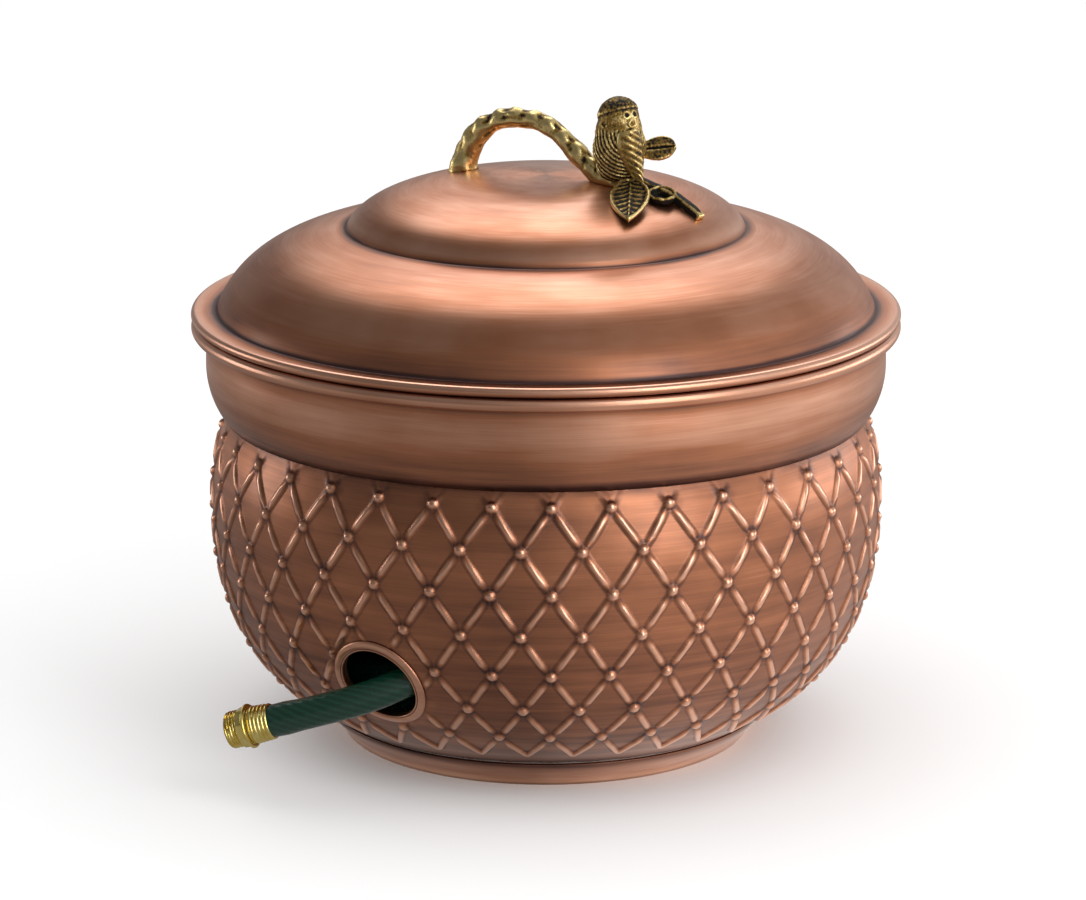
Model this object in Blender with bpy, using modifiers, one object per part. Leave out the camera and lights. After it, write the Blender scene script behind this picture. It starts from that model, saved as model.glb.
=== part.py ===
"""Covered garden hose pot of embossed copper, with a cast bird handle and a coiled hose inside.

Metres, +Z up.  The origin is on the floor at the middle of the foot ring.  The hose outlet faces -Y,
and the handle on the lid runs along X.
"""
from math import atan2, cos, degrees, pi, radians, sin

import bmesh
import bpy
from mathutils import Matrix, Vector
from mathutils.geometry import interpolate_bezier

# ---------------------------------------------------------------- driving sizes
GAP = 0.0003                     # clearance between pieces that touch
SHEET = 0.0012                   # copper sheet
TURN_STEPS = 40                  # facets round the large turned pieces
SMALL_STEPS = 20                 # facets round the small ones

RIM_R = 0.262                    # outer radius of the lid flange and of the pot's rolled rim
RIM_TOP = 0.3155
RIM_BEAD_R = 0.0052
COLLAR_BULGE = (0.2516, 0.2817)  # (radius, height)
COLLAR_FOOT = (0.2382, 0.2435)
BELLY_TOP = (0.2360, 0.2424)
BELLY_WIDEST = (0.2486, 0.1780)
BELLY_BOTTOM_Z = 0.0185
BELLY_CURL = (0.1650, 0.0206)      # where the bowl turns under, onto the foot ring
BELLY_FLAT_R = 0.1560
NECK_TOP = 0.2500
DRAIN_R = 0.0120
FOOT_R = 0.1520
FOOT_TOP = (0.1665, 0.0198)
FOOT_SHEET = 0.0016
FOOT_EDGE = 0.0025                # height of the straight edge that the pot stands on

LID_EDGE_R = 0.0036              # radius of the lid's rolled edge
LID_FLANGE_Z = 0.3230
LID_GROOVE = (0.2437, 0.3223)
LID_STEP = (0.1472, 0.3817)
LID_TOP = 0.4205
LOCATING_RING_R = 0.2457
LOCATING_RING_Z = (0.3000, 0.3202)

OUTLET_Z = 0.0910
OUTLET_TILT = radians(24.2)      # the belly leans outward here, so the outlet looks down a little
OUTLET_BORE_R = 0.02975
GROMMET_R = 0.0370
GROMMET_WALL = 0.0012
GROMMET_FRONT = 0.0022
GROMMET_BACK = -0.0048

HOSE_R = 0.0114
HOSE_PITCH = 0.0234              # spacing of the coil's turns
COIL_FLOOR = 0.0206
COIL_INNER_R = 0.1220            # centre line of the innermost column of turns
COIL_ROWS = (2, 4, 4, 2, 2)      # turns side by side in each layer, from the floor up
COIL_EYE_R = 0.0858              # the hose's inner end climbs from the floor round this eye

FERRULE_LENGTH = 0.0160
FERRULE_R = 0.0135
COUPLING_BORE_R = 0.0075
THREAD_R = 0.0135
NUT_R = 0.0168

ARCH_FOOT = Vector((-0.0715, 0.0, 0.4170))
BIRD_FOOT = Vector((0.0580, 0.0, 0.4225))
SCREW_R = 0.0025
SCREW_HOLE_R = 0.0029

COLOURS = {
    "antique_copper": ((0.52, 0.23, 0.13), 0.35, 1.0),
    "copper_inside": ((0.45, 0.20, 0.12), 0.45, 1.0),
    "antique_brass": ((0.62, 0.45, 0.18), 0.40, 1.0),
    "bright_brass": ((0.85, 0.66, 0.25), 0.20, 1.0),
    "green_hose": ((0.01, 0.05, 0.035), 0.30, 0.0),
    "steel": ((0.55, 0.55, 0.56), 0.35, 1.0),
    "rubber": ((0.03, 0.03, 0.03), 0.60, 0.0),
}


# ---------------------------------------------------------------- scene and materials
def clear_scene():
    for old in list(bpy.data.objects):
        bpy.data.objects.remove(old, do_unlink=True)
    for old in list(bpy.data.collections):
        bpy.data.collections.remove(old)


def new_collection(name):
    group = bpy.data.collections.new(name)
    bpy.context.scene.collection.children.link(group)
    return group


clear_scene()
PARTS = new_collection("garden_hose_pot")
CUTTERS = new_collection("cutters")


def material(node, finish):
    """One Principled material for each sub-part."""
    colour, roughness, metallic = COLOURS[finish]
    made = bpy.data.materials.new(f"{node}_{finish}")
    made.use_nodes = True
    shader = made.node_tree.nodes["Principled BSDF"]
    shader.inputs["Base Color"].default_value = (*colour, 1.0)
    shader.inputs["Roughness"].default_value = roughness
    shader.inputs["Metallic"].default_value = metallic
    return made


def add_part(name, data, finish):
    made = bpy.data.objects.new(name, data)
    PARTS.objects.link(made)
    made.data.materials.append(material(name, finish))
    if isinstance(data, bpy.types.Mesh):
        data.shade_smooth()
    return made


def add_cutter(name, data):
    made = bpy.data.objects.new(name, data)
    CUTTERS.objects.link(made)
    made.hide_render = True
    made.display_type = "WIRE"
    return made


# ---------------------------------------------------------------- outlines of turned pieces
def bezier(start, start_handle, end_handle, end, count):
    """Points on a cubic through (radius, height) pairs."""
    corners = [Vector((r, 0.0, z)) for r, z in (start, start_handle, end_handle, end)]
    return [(p.x, p.z) for p in interpolate_bezier(*corners, count)]


def arc(centre, radius, start, end, count):
    """Points on a circle, from the angle start to the angle end, in degrees."""
    angles = [radians(start + (end - start) * i / (count - 1)) for i in range(count)]
    return [(centre[0] + radius * cos(a), centre[1] + radius * sin(a)) for a in angles]


def join_outlines(*stretches):
    """One outline from several, without the points that two of them share."""
    joined = []
    for stretch in stretches:
        for point in stretch:
            if not joined or (Vector(joined[-1]) - Vector(point)).length > 1e-5:
                joined.append(point)
    return joined


def inner_side(line, thickness):
    """The other face of a sheet whose outer face is line, which runs from top to bottom."""
    shifted = []
    for i, point in enumerate(line):
        before = Vector(line[max(i - 1, 0)])
        after = Vector(line[min(i + 1, len(line) - 1)])
        run = (after - before).normalized()
        shifted.append((max(point[0] + run.y * thickness, 0.0), point[1] - run.x * thickness))
    return shifted


def sheet_section(line, thickness):
    """Closed section of a sheet: down its outer face and back up its inner face."""
    closed = line + inner_side(line, thickness)[::-1]
    if line[0][0] > 1e-6:
        closed.append(closed[0])
    return closed


def profile_mesh(name, outline):
    made = bpy.data.meshes.new(name)
    points = [(r, 0.0, z) for r, z in outline]
    closed = (Vector(points[0]) - Vector(points[-1])).length < 1e-7
    if closed:
        points = points[:-1]
    edges = [(i, i + 1) for i in range(len(points) - 1)]
    if closed:
        edges.append((len(points) - 1, 0))
    made.from_pydata(points, edges, [])
    return made


def add_screw(turned, steps):
    screw = turned.modifiers.new("turn", "SCREW")
    screw.axis = "Z"
    screw.steps = steps
    screw.render_steps = steps
    screw.use_merge_vertices = True
    screw.merge_threshold = 0.00001
    screw.use_smooth_shade = True
    return turned


def turned_part(name, outline, finish, steps=TURN_STEPS):
    return add_screw(add_part(name, profile_mesh(name, outline), finish), steps)


def turned_cutter(name, outline, steps=TURN_STEPS):
    return add_screw(add_cutter(name, profile_mesh(name, outline)), steps)


def rod_cutter(name, base, direction, length, radius, steps=SMALL_STEPS):
    """A round bar from base along direction, for a hole."""
    rod = turned_cutter(name, [(0.0, length), (radius, length), (radius, 0.0), (0.0, 0.0)], steps)
    rod.matrix_world = facing(base, direction)
    return rod


def cut(solid, cutter):
    boolean = solid.modifiers.new(f"cut_{cutter.name}", "BOOLEAN")
    boolean.operation = "DIFFERENCE"
    boolean.solver = "EXACT"
    boolean.object = cutter


def facing(base, direction):
    """Places a piece turned about Z so that its Z lies along direction, with its foot at base."""
    return Matrix.Translation(base) @ Vector(direction).to_track_quat("Z", "Y").to_matrix().to_4x4()


# ---------------------------------------------------------------- the pot
def belly_line():
    """Outer face of the belly, from the neck inside the collar down to the drain."""
    swell = bezier(BELLY_TOP, (0.2420, 0.2330), (0.2486, 0.2080), BELLY_WIDEST, 5)
    bowl = bezier(BELLY_WIDEST, (0.2486, 0.0768), (0.2030, 0.0424), BELLY_CURL, 9)
    neck = [(BELLY_TOP[0], NECK_TOP)]
    flat = [(BELLY_FLAT_R, BELLY_BOTTOM_Z), (DRAIN_R, BELLY_BOTTOM_Z)]
    return join_outlines(neck, swell, bowl, flat)


def collar_line():
    """The rolled rim over its own edge, then the bulging band down to the belly."""
    hidden_r = RIM_BEAD_R - SHEET
    centre = (RIM_R - RIM_BEAD_R, RIM_TOP - RIM_BEAD_R)
    roll = arc(centre, hidden_r, -80.0, 180.0, 7)
    throat = (centre[0] - hidden_r, centre[1])
    band = bezier(throat, (0.2500, 0.3040), (COLLAR_BULGE[0], 0.2960), COLLAR_BULGE, 4)
    tuck = bezier(COLLAR_BULGE, (COLLAR_BULGE[0], 0.2640), (0.2440, 0.2500), COLLAR_FOOT, 5)
    return join_outlines(roll, band, tuck)


def foot_line():
    flare = bezier(FOOT_TOP, (0.1663, 0.0160), (0.1560, 0.0090), (FOOT_R, FOOT_EDGE), 5)
    return join_outlines(flare, [(FOOT_R, 0.0)])


def outlet_normal():
    return Vector((0.0, -cos(OUTLET_TILT), -sin(OUTLET_TILT)))


def outlet_centre():
    """Where the outlet's axis meets the belly's outer face."""
    line = belly_line()
    for upper, lower in zip(line, line[1:]):
        if upper[1] >= OUTLET_Z > lower[1]:
            share = (upper[1] - OUTLET_Z) / (upper[1] - lower[1])
            return Vector((0.0, -(upper[0] + share * (lower[0] - upper[0])), OUTLET_Z))
    raise ValueError("the outlet is not on the belly")


def build_pot():
    belly = turned_part("belly", sheet_section(belly_line(), SHEET), "antique_copper")
    barrel_r = OUTLET_BORE_R + GROMMET_WALL
    reach = 0.03
    hole = rod_cutter("outlet_hole", outlet_centre() - outlet_normal() * reach, outlet_normal(),
                      2.0 * reach, barrel_r + GAP, steps=24)
    cut(belly, hole)
    turned_part("collar", sheet_section(collar_line(), SHEET), "antique_copper")
    turned_part("foot_ring", sheet_section(foot_line(), FOOT_SHEET), "antique_copper")
    inner = OUTLET_BORE_R
    face = [(GROMMET_R, GROMMET_FRONT - 0.0010), (GROMMET_R, GROMMET_FRONT - 0.0022),
            (barrel_r, GROMMET_FRONT - 0.0014), (barrel_r, GROMMET_BACK), (inner, GROMMET_BACK),
            (inner, GROMMET_FRONT - 0.0006), (inner + 0.0014, GROMMET_FRONT),
            (GROMMET_R - 0.0012, GROMMET_FRONT), (GROMMET_R, GROMMET_FRONT - 0.0010)]
    grommet = turned_part("outlet_grommet", face, "antique_copper", steps=24)
    grommet.matrix_world = facing(outlet_centre(), outlet_normal())


# ---------------------------------------------------------------- the lid
def dome_line():
    """Crown, step and shoulder down to the groove inside the flange."""
    crown = bezier((0.0, LID_TOP), (0.1284, LID_TOP), (0.1438, 0.3890), LID_STEP, 8)
    shoulder = bezier((0.1500, 0.3812), (0.2308, 0.3705), (0.2400, 0.3262), LID_GROOVE, 8)
    return join_outlines(crown, shoulder)


def lid_line():
    """The dome, the flat flange and its edge rolled down and under."""
    centre = (RIM_R - LID_EDGE_R, LID_FLANGE_Z - LID_EDGE_R)
    roll = arc(centre, LID_EDGE_R, 90.0, -90.0, 5)
    return join_outlines(dome_line(), [(0.2470, LID_FLANGE_Z - 0.0006)], roll)


def crown_cutter(name):
    """The space under the dome's outer face and just above it, which the handle keeps out of."""
    lifted = [(r, z + GAP) for r, z in dome_line()]
    return turned_cutter(name, lifted + [(0.0, LID_GROOVE[1])])


def screw_places():
    return {"arch": ARCH_FOOT, "bird": BIRD_FOOT}


def dome_height(radius):
    """Height of the dome's outer face at a radius."""
    line = dome_line()
    for upper, lower in zip(line, line[1:]):
        if upper[0] <= radius <= lower[0]:
            share = (radius - upper[0]) / (lower[0] - upper[0])
            return upper[1] + share * (lower[1] - upper[1])
    raise ValueError("outside the dome")


def build_lid():
    lid = turned_part("lid_shell", sheet_section(lid_line(), SHEET), "antique_copper")
    up = Vector((0.0, 0.0, 1.0))
    for place, foot in screw_places().items():
        below = Vector((foot.x, foot.y, dome_height(abs(foot.x)) - 0.02))
        cut(lid, rod_cutter(f"{place}_lid_hole", below, up, 0.04, SCREW_HOLE_R, steps=12))
    low, high = LOCATING_RING_Z
    inner = LOCATING_RING_R - SHEET
    outline = [(LOCATING_RING_R, high), (LOCATING_RING_R, low), (inner, low), (inner, high),
               (LOCATING_RING_R, high)]
    turned_part("lid_locating_ring", outline, "antique_copper")


# ---------------------------------------------------------------- the handle
BRANCH = (  # x, y, z, radius along the middle of the branch, from the arch's foot to the twig's end
    (-0.0725, 0.0, 0.4110, 0.0115),
    (-0.0700, 0.0, 0.4230, 0.0105),
    (-0.0655, 0.0, 0.4340, 0.0096),
    (-0.0570, 0.0, 0.4465, 0.0085),
    (-0.0440, 0.0, 0.4555, 0.0074),
    (-0.0260, 0.0, 0.4600, 0.0070),
    (-0.0040, 0.0, 0.4585, 0.0070),
    (0.0090, 0.0, 0.4525, 0.0069),
    (0.0205, 0.0, 0.4440, 0.0070),
    (0.0310, 0.0, 0.4350, 0.0074),
    (0.0430, 0.0, 0.4260, 0.0078),
    (0.0580, 0.0, 0.4215, 0.0080),
    (0.0740, 0.0010, 0.4205, 0.0068),
    (0.0880, 0.0025, 0.4180, 0.0050),
    (0.1000, 0.0030, 0.4150, 0.0048),
    (0.1150, 0.0025, 0.4095, 0.0045),
    (0.1310, 0.0010, 0.4015, 0.0040),
)
CUP_CENTRE = Vector((0.1010, -0.0060, 0.4155))
CUP_R = 0.0120
BIRD_SEAT = Vector((0.0620, 0.0, 0.4480))
BIRD_RADII = (0.0205, 0.0185, 0.0235)
BIRD_HEAD = Vector((0.0620, -0.0010, 0.4695))
BIRD_HEAD_RADII = (0.0160, 0.0155, 0.0150)
BIRD_LOOK = Vector((0.75, -0.65, -0.15))
FRONT_LEAF = (Vector((0.0760, -0.0075, 0.4245)), Vector((0.1040, -0.0540, 0.4130)), 0.0140)
REAR_LEAF = (Vector((0.0760, 0.0080, 0.4400)), Vector((0.1110, 0.0190, 0.4490)), 0.0100)
LEAF_THICK = 0.0026


def mesh_from_curve(curve_object):
    """The evaluated curve as a mesh with its caps welded on."""
    graph = bpy.context.evaluated_depsgraph_get()
    data = bpy.data.meshes.new_from_object(curve_object.evaluated_get(graph))
    shape = bmesh.new()
    shape.from_mesh(data)
    bmesh.ops.remove_doubles(shape, verts=shape.verts, dist=0.00001)
    shape.to_mesh(data)
    shape.free()
    return data


def curve_data(name, points, radius, resolution, kind="POLY"):
    """A round bar along points, each (x, y, z) or (x, y, z, its own radius)."""
    data = bpy.data.curves.new(name, "CURVE")
    data.dimensions = "3D"
    data.bevel_depth = radius
    data.bevel_resolution = resolution
    data.use_fill_caps = True
    spline = data.splines.new(kind)
    spline.points.add(len(points) - 1)
    for target, point in zip(spline.points, points):
        target.co = (*point[:3], 1.0)
        if len(point) > 3:
            target.radius = point[3] / radius
    return data


def meshed_bar(name, points, finish):
    """A bar of changing radius, as a mesh that can be cut."""
    guide = bpy.data.objects.new(f"{name}_guide", curve_data(name, points, 0.01, 2))
    CUTTERS.objects.link(guide)
    bpy.context.view_layer.update()
    data = mesh_from_curve(guide)
    bar = add_part(name, data, finish)
    bpy.data.objects.remove(guide, do_unlink=True)
    return bar


def ball(shape, centre, radii, segments=16, rings=10):
    """Adds a closed ellipsoid to a bmesh."""
    scale = Matrix.Diagonal((*radii, 1.0))
    bmesh.ops.create_uvsphere(shape, u_segments=segments, v_segments=rings, radius=1.0,
                              matrix=Matrix.Translation(centre) @ scale)


def cone(shape, placed, foot_radius, tip_radius, length):
    bmesh.ops.create_cone(shape, cap_ends=True, segments=8, radius1=foot_radius, radius2=tip_radius,
                          depth=length, matrix=placed)


def piece_mesh(name, build):
    data = bpy.data.meshes.new(name)
    shape = bmesh.new()
    build(shape)
    shape.to_mesh(data)
    shape.free()
    return data


def unite(solid, other):
    boolean = solid.modifiers.new(f"join_{other.name}", "BOOLEAN")
    boolean.operation = "UNION"
    boolean.solver = "EXACT"
    boolean.object = other


def leaf(name, base, tip, half_width, finish):
    """A pointed plate from base to tip, level across its width."""
    length = (tip - base).length
    side_points = 7
    data = bpy.data.curves.new(name, "CURVE")
    data.dimensions = "2D"
    data.fill_mode = "BOTH"
    data.extrude = LEAF_THICK / 2.0
    edge = []
    for i in range(side_points):
        share = i / (side_points - 1)
        edge.append((length * share, half_width * sin(pi * share ** 0.85) ** 0.75))
    outline = edge + [(x, -y) for x, y in edge[-2:0:-1]]
    spline = data.splines.new("POLY")
    spline.points.add(len(outline) - 1)
    for target, (x, y) in zip(spline.points, outline):
        target.co = (x, y, 0.0, 1.0)
    spline.use_cyclic_u = True
    guide = bpy.data.objects.new(f"{name}_guide", data)
    CUTTERS.objects.link(guide)
    bpy.context.view_layer.update()
    plate = add_part(name, mesh_from_curve(guide), finish)
    bpy.data.objects.remove(guide, do_unlink=True)
    run = (tip - base).normalized()
    across = Vector((0.0, 0.0, 1.0)).cross(run).normalized()
    face = run.cross(across)
    frame = Matrix((run, across, face)).transposed().to_4x4()
    plate.matrix_world = Matrix.Translation(base) @ frame
    return plate


def build_handle():
    branch = meshed_bar("handle_branch", BRANCH, "antique_brass")
    cup = turned_cutter("cup_ring", arc((CUP_R - 0.0028, 0.0), 0.0028, 90.0, -270.0, 9), 16)
    cup.matrix_world = facing(CUP_CENTRE, Vector((0.2, -0.3, 1.0)))
    unite(branch, cup)
    cut(branch, crown_cutter("crown_under_branch"))
    up = Vector((0.0, 0.0, 1.0))
    for place, foot in screw_places().items():
        start = Vector((foot.x, foot.y, 0.400))
        cut(branch, rod_cutter(f"{place}_branch_hole", start, up, foot.z + 0.004 - start.z,
                               SCREW_HOLE_R, steps=12))

    body = piece_mesh("handle_bird", lambda s: ball(s, BIRD_SEAT, BIRD_RADII))
    bird = add_part("handle_bird", body, "antique_brass")
    head = piece_mesh("bird_head", lambda s: ball(s, BIRD_HEAD, BIRD_HEAD_RADII, 16, 8))
    unite(bird, add_cutter("bird_head", head))
    beak_at = BIRD_HEAD + Vector((0.0125, -0.0115, -0.0010))
    beak = piece_mesh("bird_beak", lambda s: cone(s, facing(beak_at, BIRD_LOOK), 0.0045, 0.0008, 0.010))
    unite(bird, add_cutter("bird_beak", beak))
    cut(bird, add_cutter("branch_space", swollen_branch_mesh()))

    leaf("leaf_front", *FRONT_LEAF, "antique_brass")
    rear = leaf("leaf_rear", *REAR_LEAF, "antique_brass")
    roomy = tuple(r + 1.5 * GAP for r in BIRD_RADII)
    cut(rear, add_cutter("bird_space", piece_mesh("bird_space", lambda s: ball(s, BIRD_SEAT, roomy))))


def swollen_branch_mesh():
    """The branch with its clearance, for what sits against it."""
    fat = [(x, y, z, r + GAP) for x, y, z, r in BRANCH]
    guide = bpy.data.objects.new("space_guide", curve_data("space", fat, 0.01, 2))
    CUTTERS.objects.link(guide)
    bpy.context.view_layer.update()
    data = mesh_from_curve(guide)
    bpy.data.objects.remove(guide, do_unlink=True)
    return data


def build_handle_screws():
    """A pan head screw and a washer under the crown at each foot of the handle."""
    washer_thick = 0.0010
    washer_r = 0.0060
    head_r = 0.0046
    head_high = 0.0028
    for place, foot in screw_places().items():
        under = dome_height(abs(foot.x)) - SHEET - 0.0016
        ring = [(washer_r, 0.0), (washer_r, -washer_thick), (SCREW_HOLE_R, -washer_thick),
                (SCREW_HOLE_R, 0.0), (washer_r, 0.0)]
        washer = turned_part(f"{place}_washer", ring, "steel", steps=16)
        washer.location = (foot.x, foot.y, under)
        seat = -washer_thick - GAP
        shank_top = foot.z + 0.002 - under
        outline = [(0.0, shank_top), (SCREW_R, shank_top), (SCREW_R, seat), (head_r, seat),
                   (head_r, seat - 0.4 * head_high), (0.6 * head_r, seat - head_high),
                   (0.0, seat - head_high)]
        screw = turned_part(f"{place}_screw", outline, "steel", steps=12)
        screw.location = (foot.x, foot.y, under)


# ---------------------------------------------------------------- the hose
HOSE_EXIT = (  # route from the top of the coil, out through the outlet, to the male coupling
    (0.1085, -0.1312, 0.1038),
    (0.0740, -0.1640, 0.1048),
    (0.0400, -0.1990, 0.1046),
    (0.0080, -0.2330, 0.0888),
    (-0.0240, -0.2575, 0.0776),
    (-0.0500, -0.2665, 0.0690),
    (-0.0778, -0.2738, 0.0601),
)
TOP_TURN_R = 0.1706              # the last turn comes down beside the two upper layers
TOP_TURN_START = 200.0           # degrees round from +X, where the coil's solid hands over to the tube
TOP_TURN_Z = (0.1258, 0.1038)
TAIL_R = (0.0985, 0.1220)        # the inner end comes up out of the eye and over the top layer
TAIL_Z = (0.1498, 0.1556)
TAIL_START, TAIL_END = -80.0, 85.0
HOSE_SPACING = 0.030


def smooth_route(points, spacing):
    """Points at an even spacing on one smooth curve through points."""
    route = [Vector(p) for p in points]
    dense = []
    for i in range(len(route) - 1):
        before = route[max(i - 1, 0)]
        after = route[min(i + 2, len(route) - 1)]
        reach = (route[i + 1] - route[i]).length / 3.0
        leave = (route[i + 1] - before).normalized() * reach
        arrive = (after - route[i]).normalized() * reach
        dense += interpolate_bezier(route[i], route[i] + leave, route[i + 1] - arrive, route[i + 1], 17)[:-1]
    dense.append(route[-1])
    total = sum((b - a).length for a, b in zip(dense, dense[1:]))
    count = max(round(total / spacing), 2)
    even = [dense[0]]
    walked = 0.0
    for a, b in zip(dense, dense[1:]):
        step = (b - a).length
        while len(even) < count and walked + step >= total * len(even) / count:
            even.append(a.lerp(b, (total * len(even) / count - walked) / step))
        walked += step
    even.append(dense[-1])
    return even


def circle_run(radii, start, end, heights, count):
    """Points round the pot's axis, between two angles in degrees, two radii and two heights."""
    run = []
    for i in range(count):
        share = i / (count - 1)
        angle = radians(start + (end - start) * share)
        r = radii[0] + (radii[1] - radii[0]) * share
        run.append((r * cos(angle), r * sin(angle), heights[0] + (heights[1] - heights[0]) * share))
    return run


def exit_route():
    first = HOSE_EXIT[0]
    meet = degrees(atan2(first[1], first[0]))
    top = circle_run((TOP_TURN_R, TOP_TURN_R), TOP_TURN_START, meet + 12.0, TOP_TURN_Z, 24)
    return smooth_route(top + list(HOSE_EXIT), HOSE_SPACING)


def tail_route():
    return smooth_route(circle_run(TAIL_R, TAIL_START, TAIL_END, TAIL_Z, 12), HOSE_SPACING)


def coil_outline():
    """Outer shape of the coil's layers, down the outside and up the inside."""
    def edge(turns):
        return COIL_INNER_R + (turns - 1) * HOSE_PITCH + HOSE_PITCH / 2.0
    tops = [COIL_FLOOR + (i + 1) * HOSE_PITCH for i in range(len(COIL_ROWS))]
    slim, wide = edge(COIL_ROWS[0]), edge(COIL_ROWS[1])
    bevel = 0.0080
    return [(COIL_EYE_R, tops[4]), (slim, tops[4]), (slim, tops[2]), (wide, tops[2]),
            (wide, tops[0] + bevel), (wide - bevel, tops[0]), (slim, tops[0]), (slim, COIL_FLOOR),
            (COIL_EYE_R, COIL_FLOOR), (COIL_EYE_R, tops[4])]


def hose_tube(name, route):
    data = curve_data(name, [tuple(p) for p in route], HOSE_R, 2)
    return add_part(name, data, "green_hose")


def run_on(route):
    """The end of a route and the direction in which it leaves."""
    return route[-1], (route[-1] - route[-2]).normalized()


def ferrule_outline():
    lip = 0.0006
    inner = HOSE_R + 0.0005
    return [(FERRULE_R - lip, FERRULE_LENGTH), (FERRULE_R, FERRULE_LENGTH - lip), (FERRULE_R, lip),
            (FERRULE_R - lip, 0.0), (inner, 0.0), (inner, FERRULE_LENGTH - 0.002),
            (COUPLING_BORE_R, FERRULE_LENGTH - 0.002), (COUPLING_BORE_R, FERRULE_LENGTH),
            (FERRULE_R - lip, FERRULE_LENGTH)]


def coupling_outline():
    """Flange, wrench flats (round here) and male thread round a straight bore."""
    flange_r, flats_r, relief_r = 0.0150, 0.0143, 0.0122
    return [(THREAD_R - 0.0008, 0.0176), (THREAD_R, 0.0166), (THREAD_R, 0.0092), (relief_r, 0.0084),
            (flats_r, 0.0076), (flats_r, 0.0022), (flange_r, 0.0018), (flange_r, 0.0),
            (COUPLING_BORE_R, 0.0), (COUPLING_BORE_R, 0.0176), (THREAD_R - 0.0008, 0.0176)]


def tail_outline():
    """The spigot that the swivel nut turns on, with a flange that holds the nut."""
    spigot_r, flange_r = 0.0098, 0.0125
    return [(flange_r, 0.0100), (flange_r, 0.0080), (spigot_r, 0.0080), (spigot_r, 0.0),
            (COUPLING_BORE_R, 0.0), (COUPLING_BORE_R, 0.0100), (flange_r, 0.0100)]


def nut_outline():
    lip_r, thread_r = 0.0104, 0.0132
    return [(NUT_R - 0.0008, 0.0220), (NUT_R, 0.0212), (NUT_R, 0.0034), (NUT_R - 0.0008, 0.0026),
            (lip_r, 0.0026), (lip_r, 0.0066), (thread_r, 0.0066), (thread_r, 0.0220),
            (NUT_R - 0.0008, 0.0220)]


def build_hose():
    outgoing = exit_route()
    tail = tail_route()
    sleeve = FERRULE_LENGTH - 0.002 - GAP
    turned_part("hose_coil", coil_outline(), "green_hose")
    for name, route in (("hose_outlet_run", outgoing), ("hose_inner_run", tail)):
        hose_tube(name, route)
    end, heading = run_on(outgoing)
    ferrule = turned_part("hose_ferrule", ferrule_outline(), "bright_brass", SMALL_STEPS)
    ferrule.matrix_world = facing(end - heading * sleeve, heading)
    coupling = turned_part("hose_male_coupling", coupling_outline(), "bright_brass", SMALL_STEPS)
    coupling_foot = end + heading * (0.002 + 2.0 * GAP)
    coupling.matrix_world = facing(coupling_foot, heading)
    print("coupling foot", tuple(round(v, 5) for v in coupling_foot), "axis",
          tuple(round(v, 5) for v in heading))

    end, heading = run_on(tail)
    inner = turned_part("hose_inner_ferrule", ferrule_outline(), "bright_brass", SMALL_STEPS)
    inner.matrix_world = facing(end - heading * sleeve, heading)
    spigot = turned_part("hose_tail_spigot", tail_outline(), "bright_brass", SMALL_STEPS)
    tail_foot = end + heading * (0.002 + 2.0 * GAP)
    spigot.matrix_world = facing(tail_foot, heading)
    nut = turned_part("hose_swivel_nut", nut_outline(), "bright_brass", SMALL_STEPS)
    nut.matrix_world = facing(tail_foot, heading)
    washer_r, washer_thick = 0.0126, 0.0026
    disc = [(washer_r, washer_thick), (washer_r, 0.0), (COUPLING_BORE_R, 0.0),
            (COUPLING_BORE_R, washer_thick), (washer_r, washer_thick)]
    washer = turned_part("hose_washer", disc, "rubber", SMALL_STEPS)
    washer.matrix_world = facing(tail_foot + heading * (0.0100 + GAP), heading)
    print("nut pivot", tuple(round(v, 5) for v in tail_foot), "axis", tuple(round(v, 5) for v in heading))
    for name, route in (("outlet", outgoing), ("inner", tail)):
        print(name, len(route), "points", round(sum((b - a).length for a, b in zip(route, route[1:])), 4), "m")


build_pot()
build_lid()
build_handle()
build_handle_screws()
build_hose()
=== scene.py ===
# %% [markdown]
# # A covered pot that stores a garden hose
# The real thing is spun copper sheet: a belly embossed with a lattice of diamonds, a smooth bulging
# collar with a rolled rim, a foot band, and a stepped lid under a cast brass bird on a branch. A green
# hose lies coiled inside and comes out of a flanged copper grommet low on the front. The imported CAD
# model is loaded first, as a fixed frame that every finished piece is fitted to.

from math import atan2, cos, degrees, exp, pi, radians, sin, sqrt

import bmesh
import bpy
from mathutils import Matrix, Vector, noise
from mathutils.bvhtree import BVHTree
from mathutils.geometry import interpolate_bezier


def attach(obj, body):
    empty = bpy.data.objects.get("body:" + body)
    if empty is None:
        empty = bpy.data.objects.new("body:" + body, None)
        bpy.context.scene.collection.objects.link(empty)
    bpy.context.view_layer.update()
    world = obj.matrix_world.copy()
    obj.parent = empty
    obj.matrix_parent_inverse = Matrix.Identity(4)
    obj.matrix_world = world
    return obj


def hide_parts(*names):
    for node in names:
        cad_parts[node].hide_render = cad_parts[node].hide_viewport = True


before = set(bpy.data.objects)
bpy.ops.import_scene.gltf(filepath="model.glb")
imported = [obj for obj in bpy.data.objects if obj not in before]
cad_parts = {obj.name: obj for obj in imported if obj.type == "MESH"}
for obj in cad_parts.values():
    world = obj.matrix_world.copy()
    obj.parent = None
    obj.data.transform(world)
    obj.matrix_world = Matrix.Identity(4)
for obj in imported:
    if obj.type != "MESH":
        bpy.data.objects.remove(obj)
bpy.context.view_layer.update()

# %% [markdown]
# ## The camera
# A long lens far away keeps the pot's ellipses flat. The camera looks down by 15 degrees and stands 31
# degrees round to the right of the hose outlet, which faces -Y.

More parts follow.
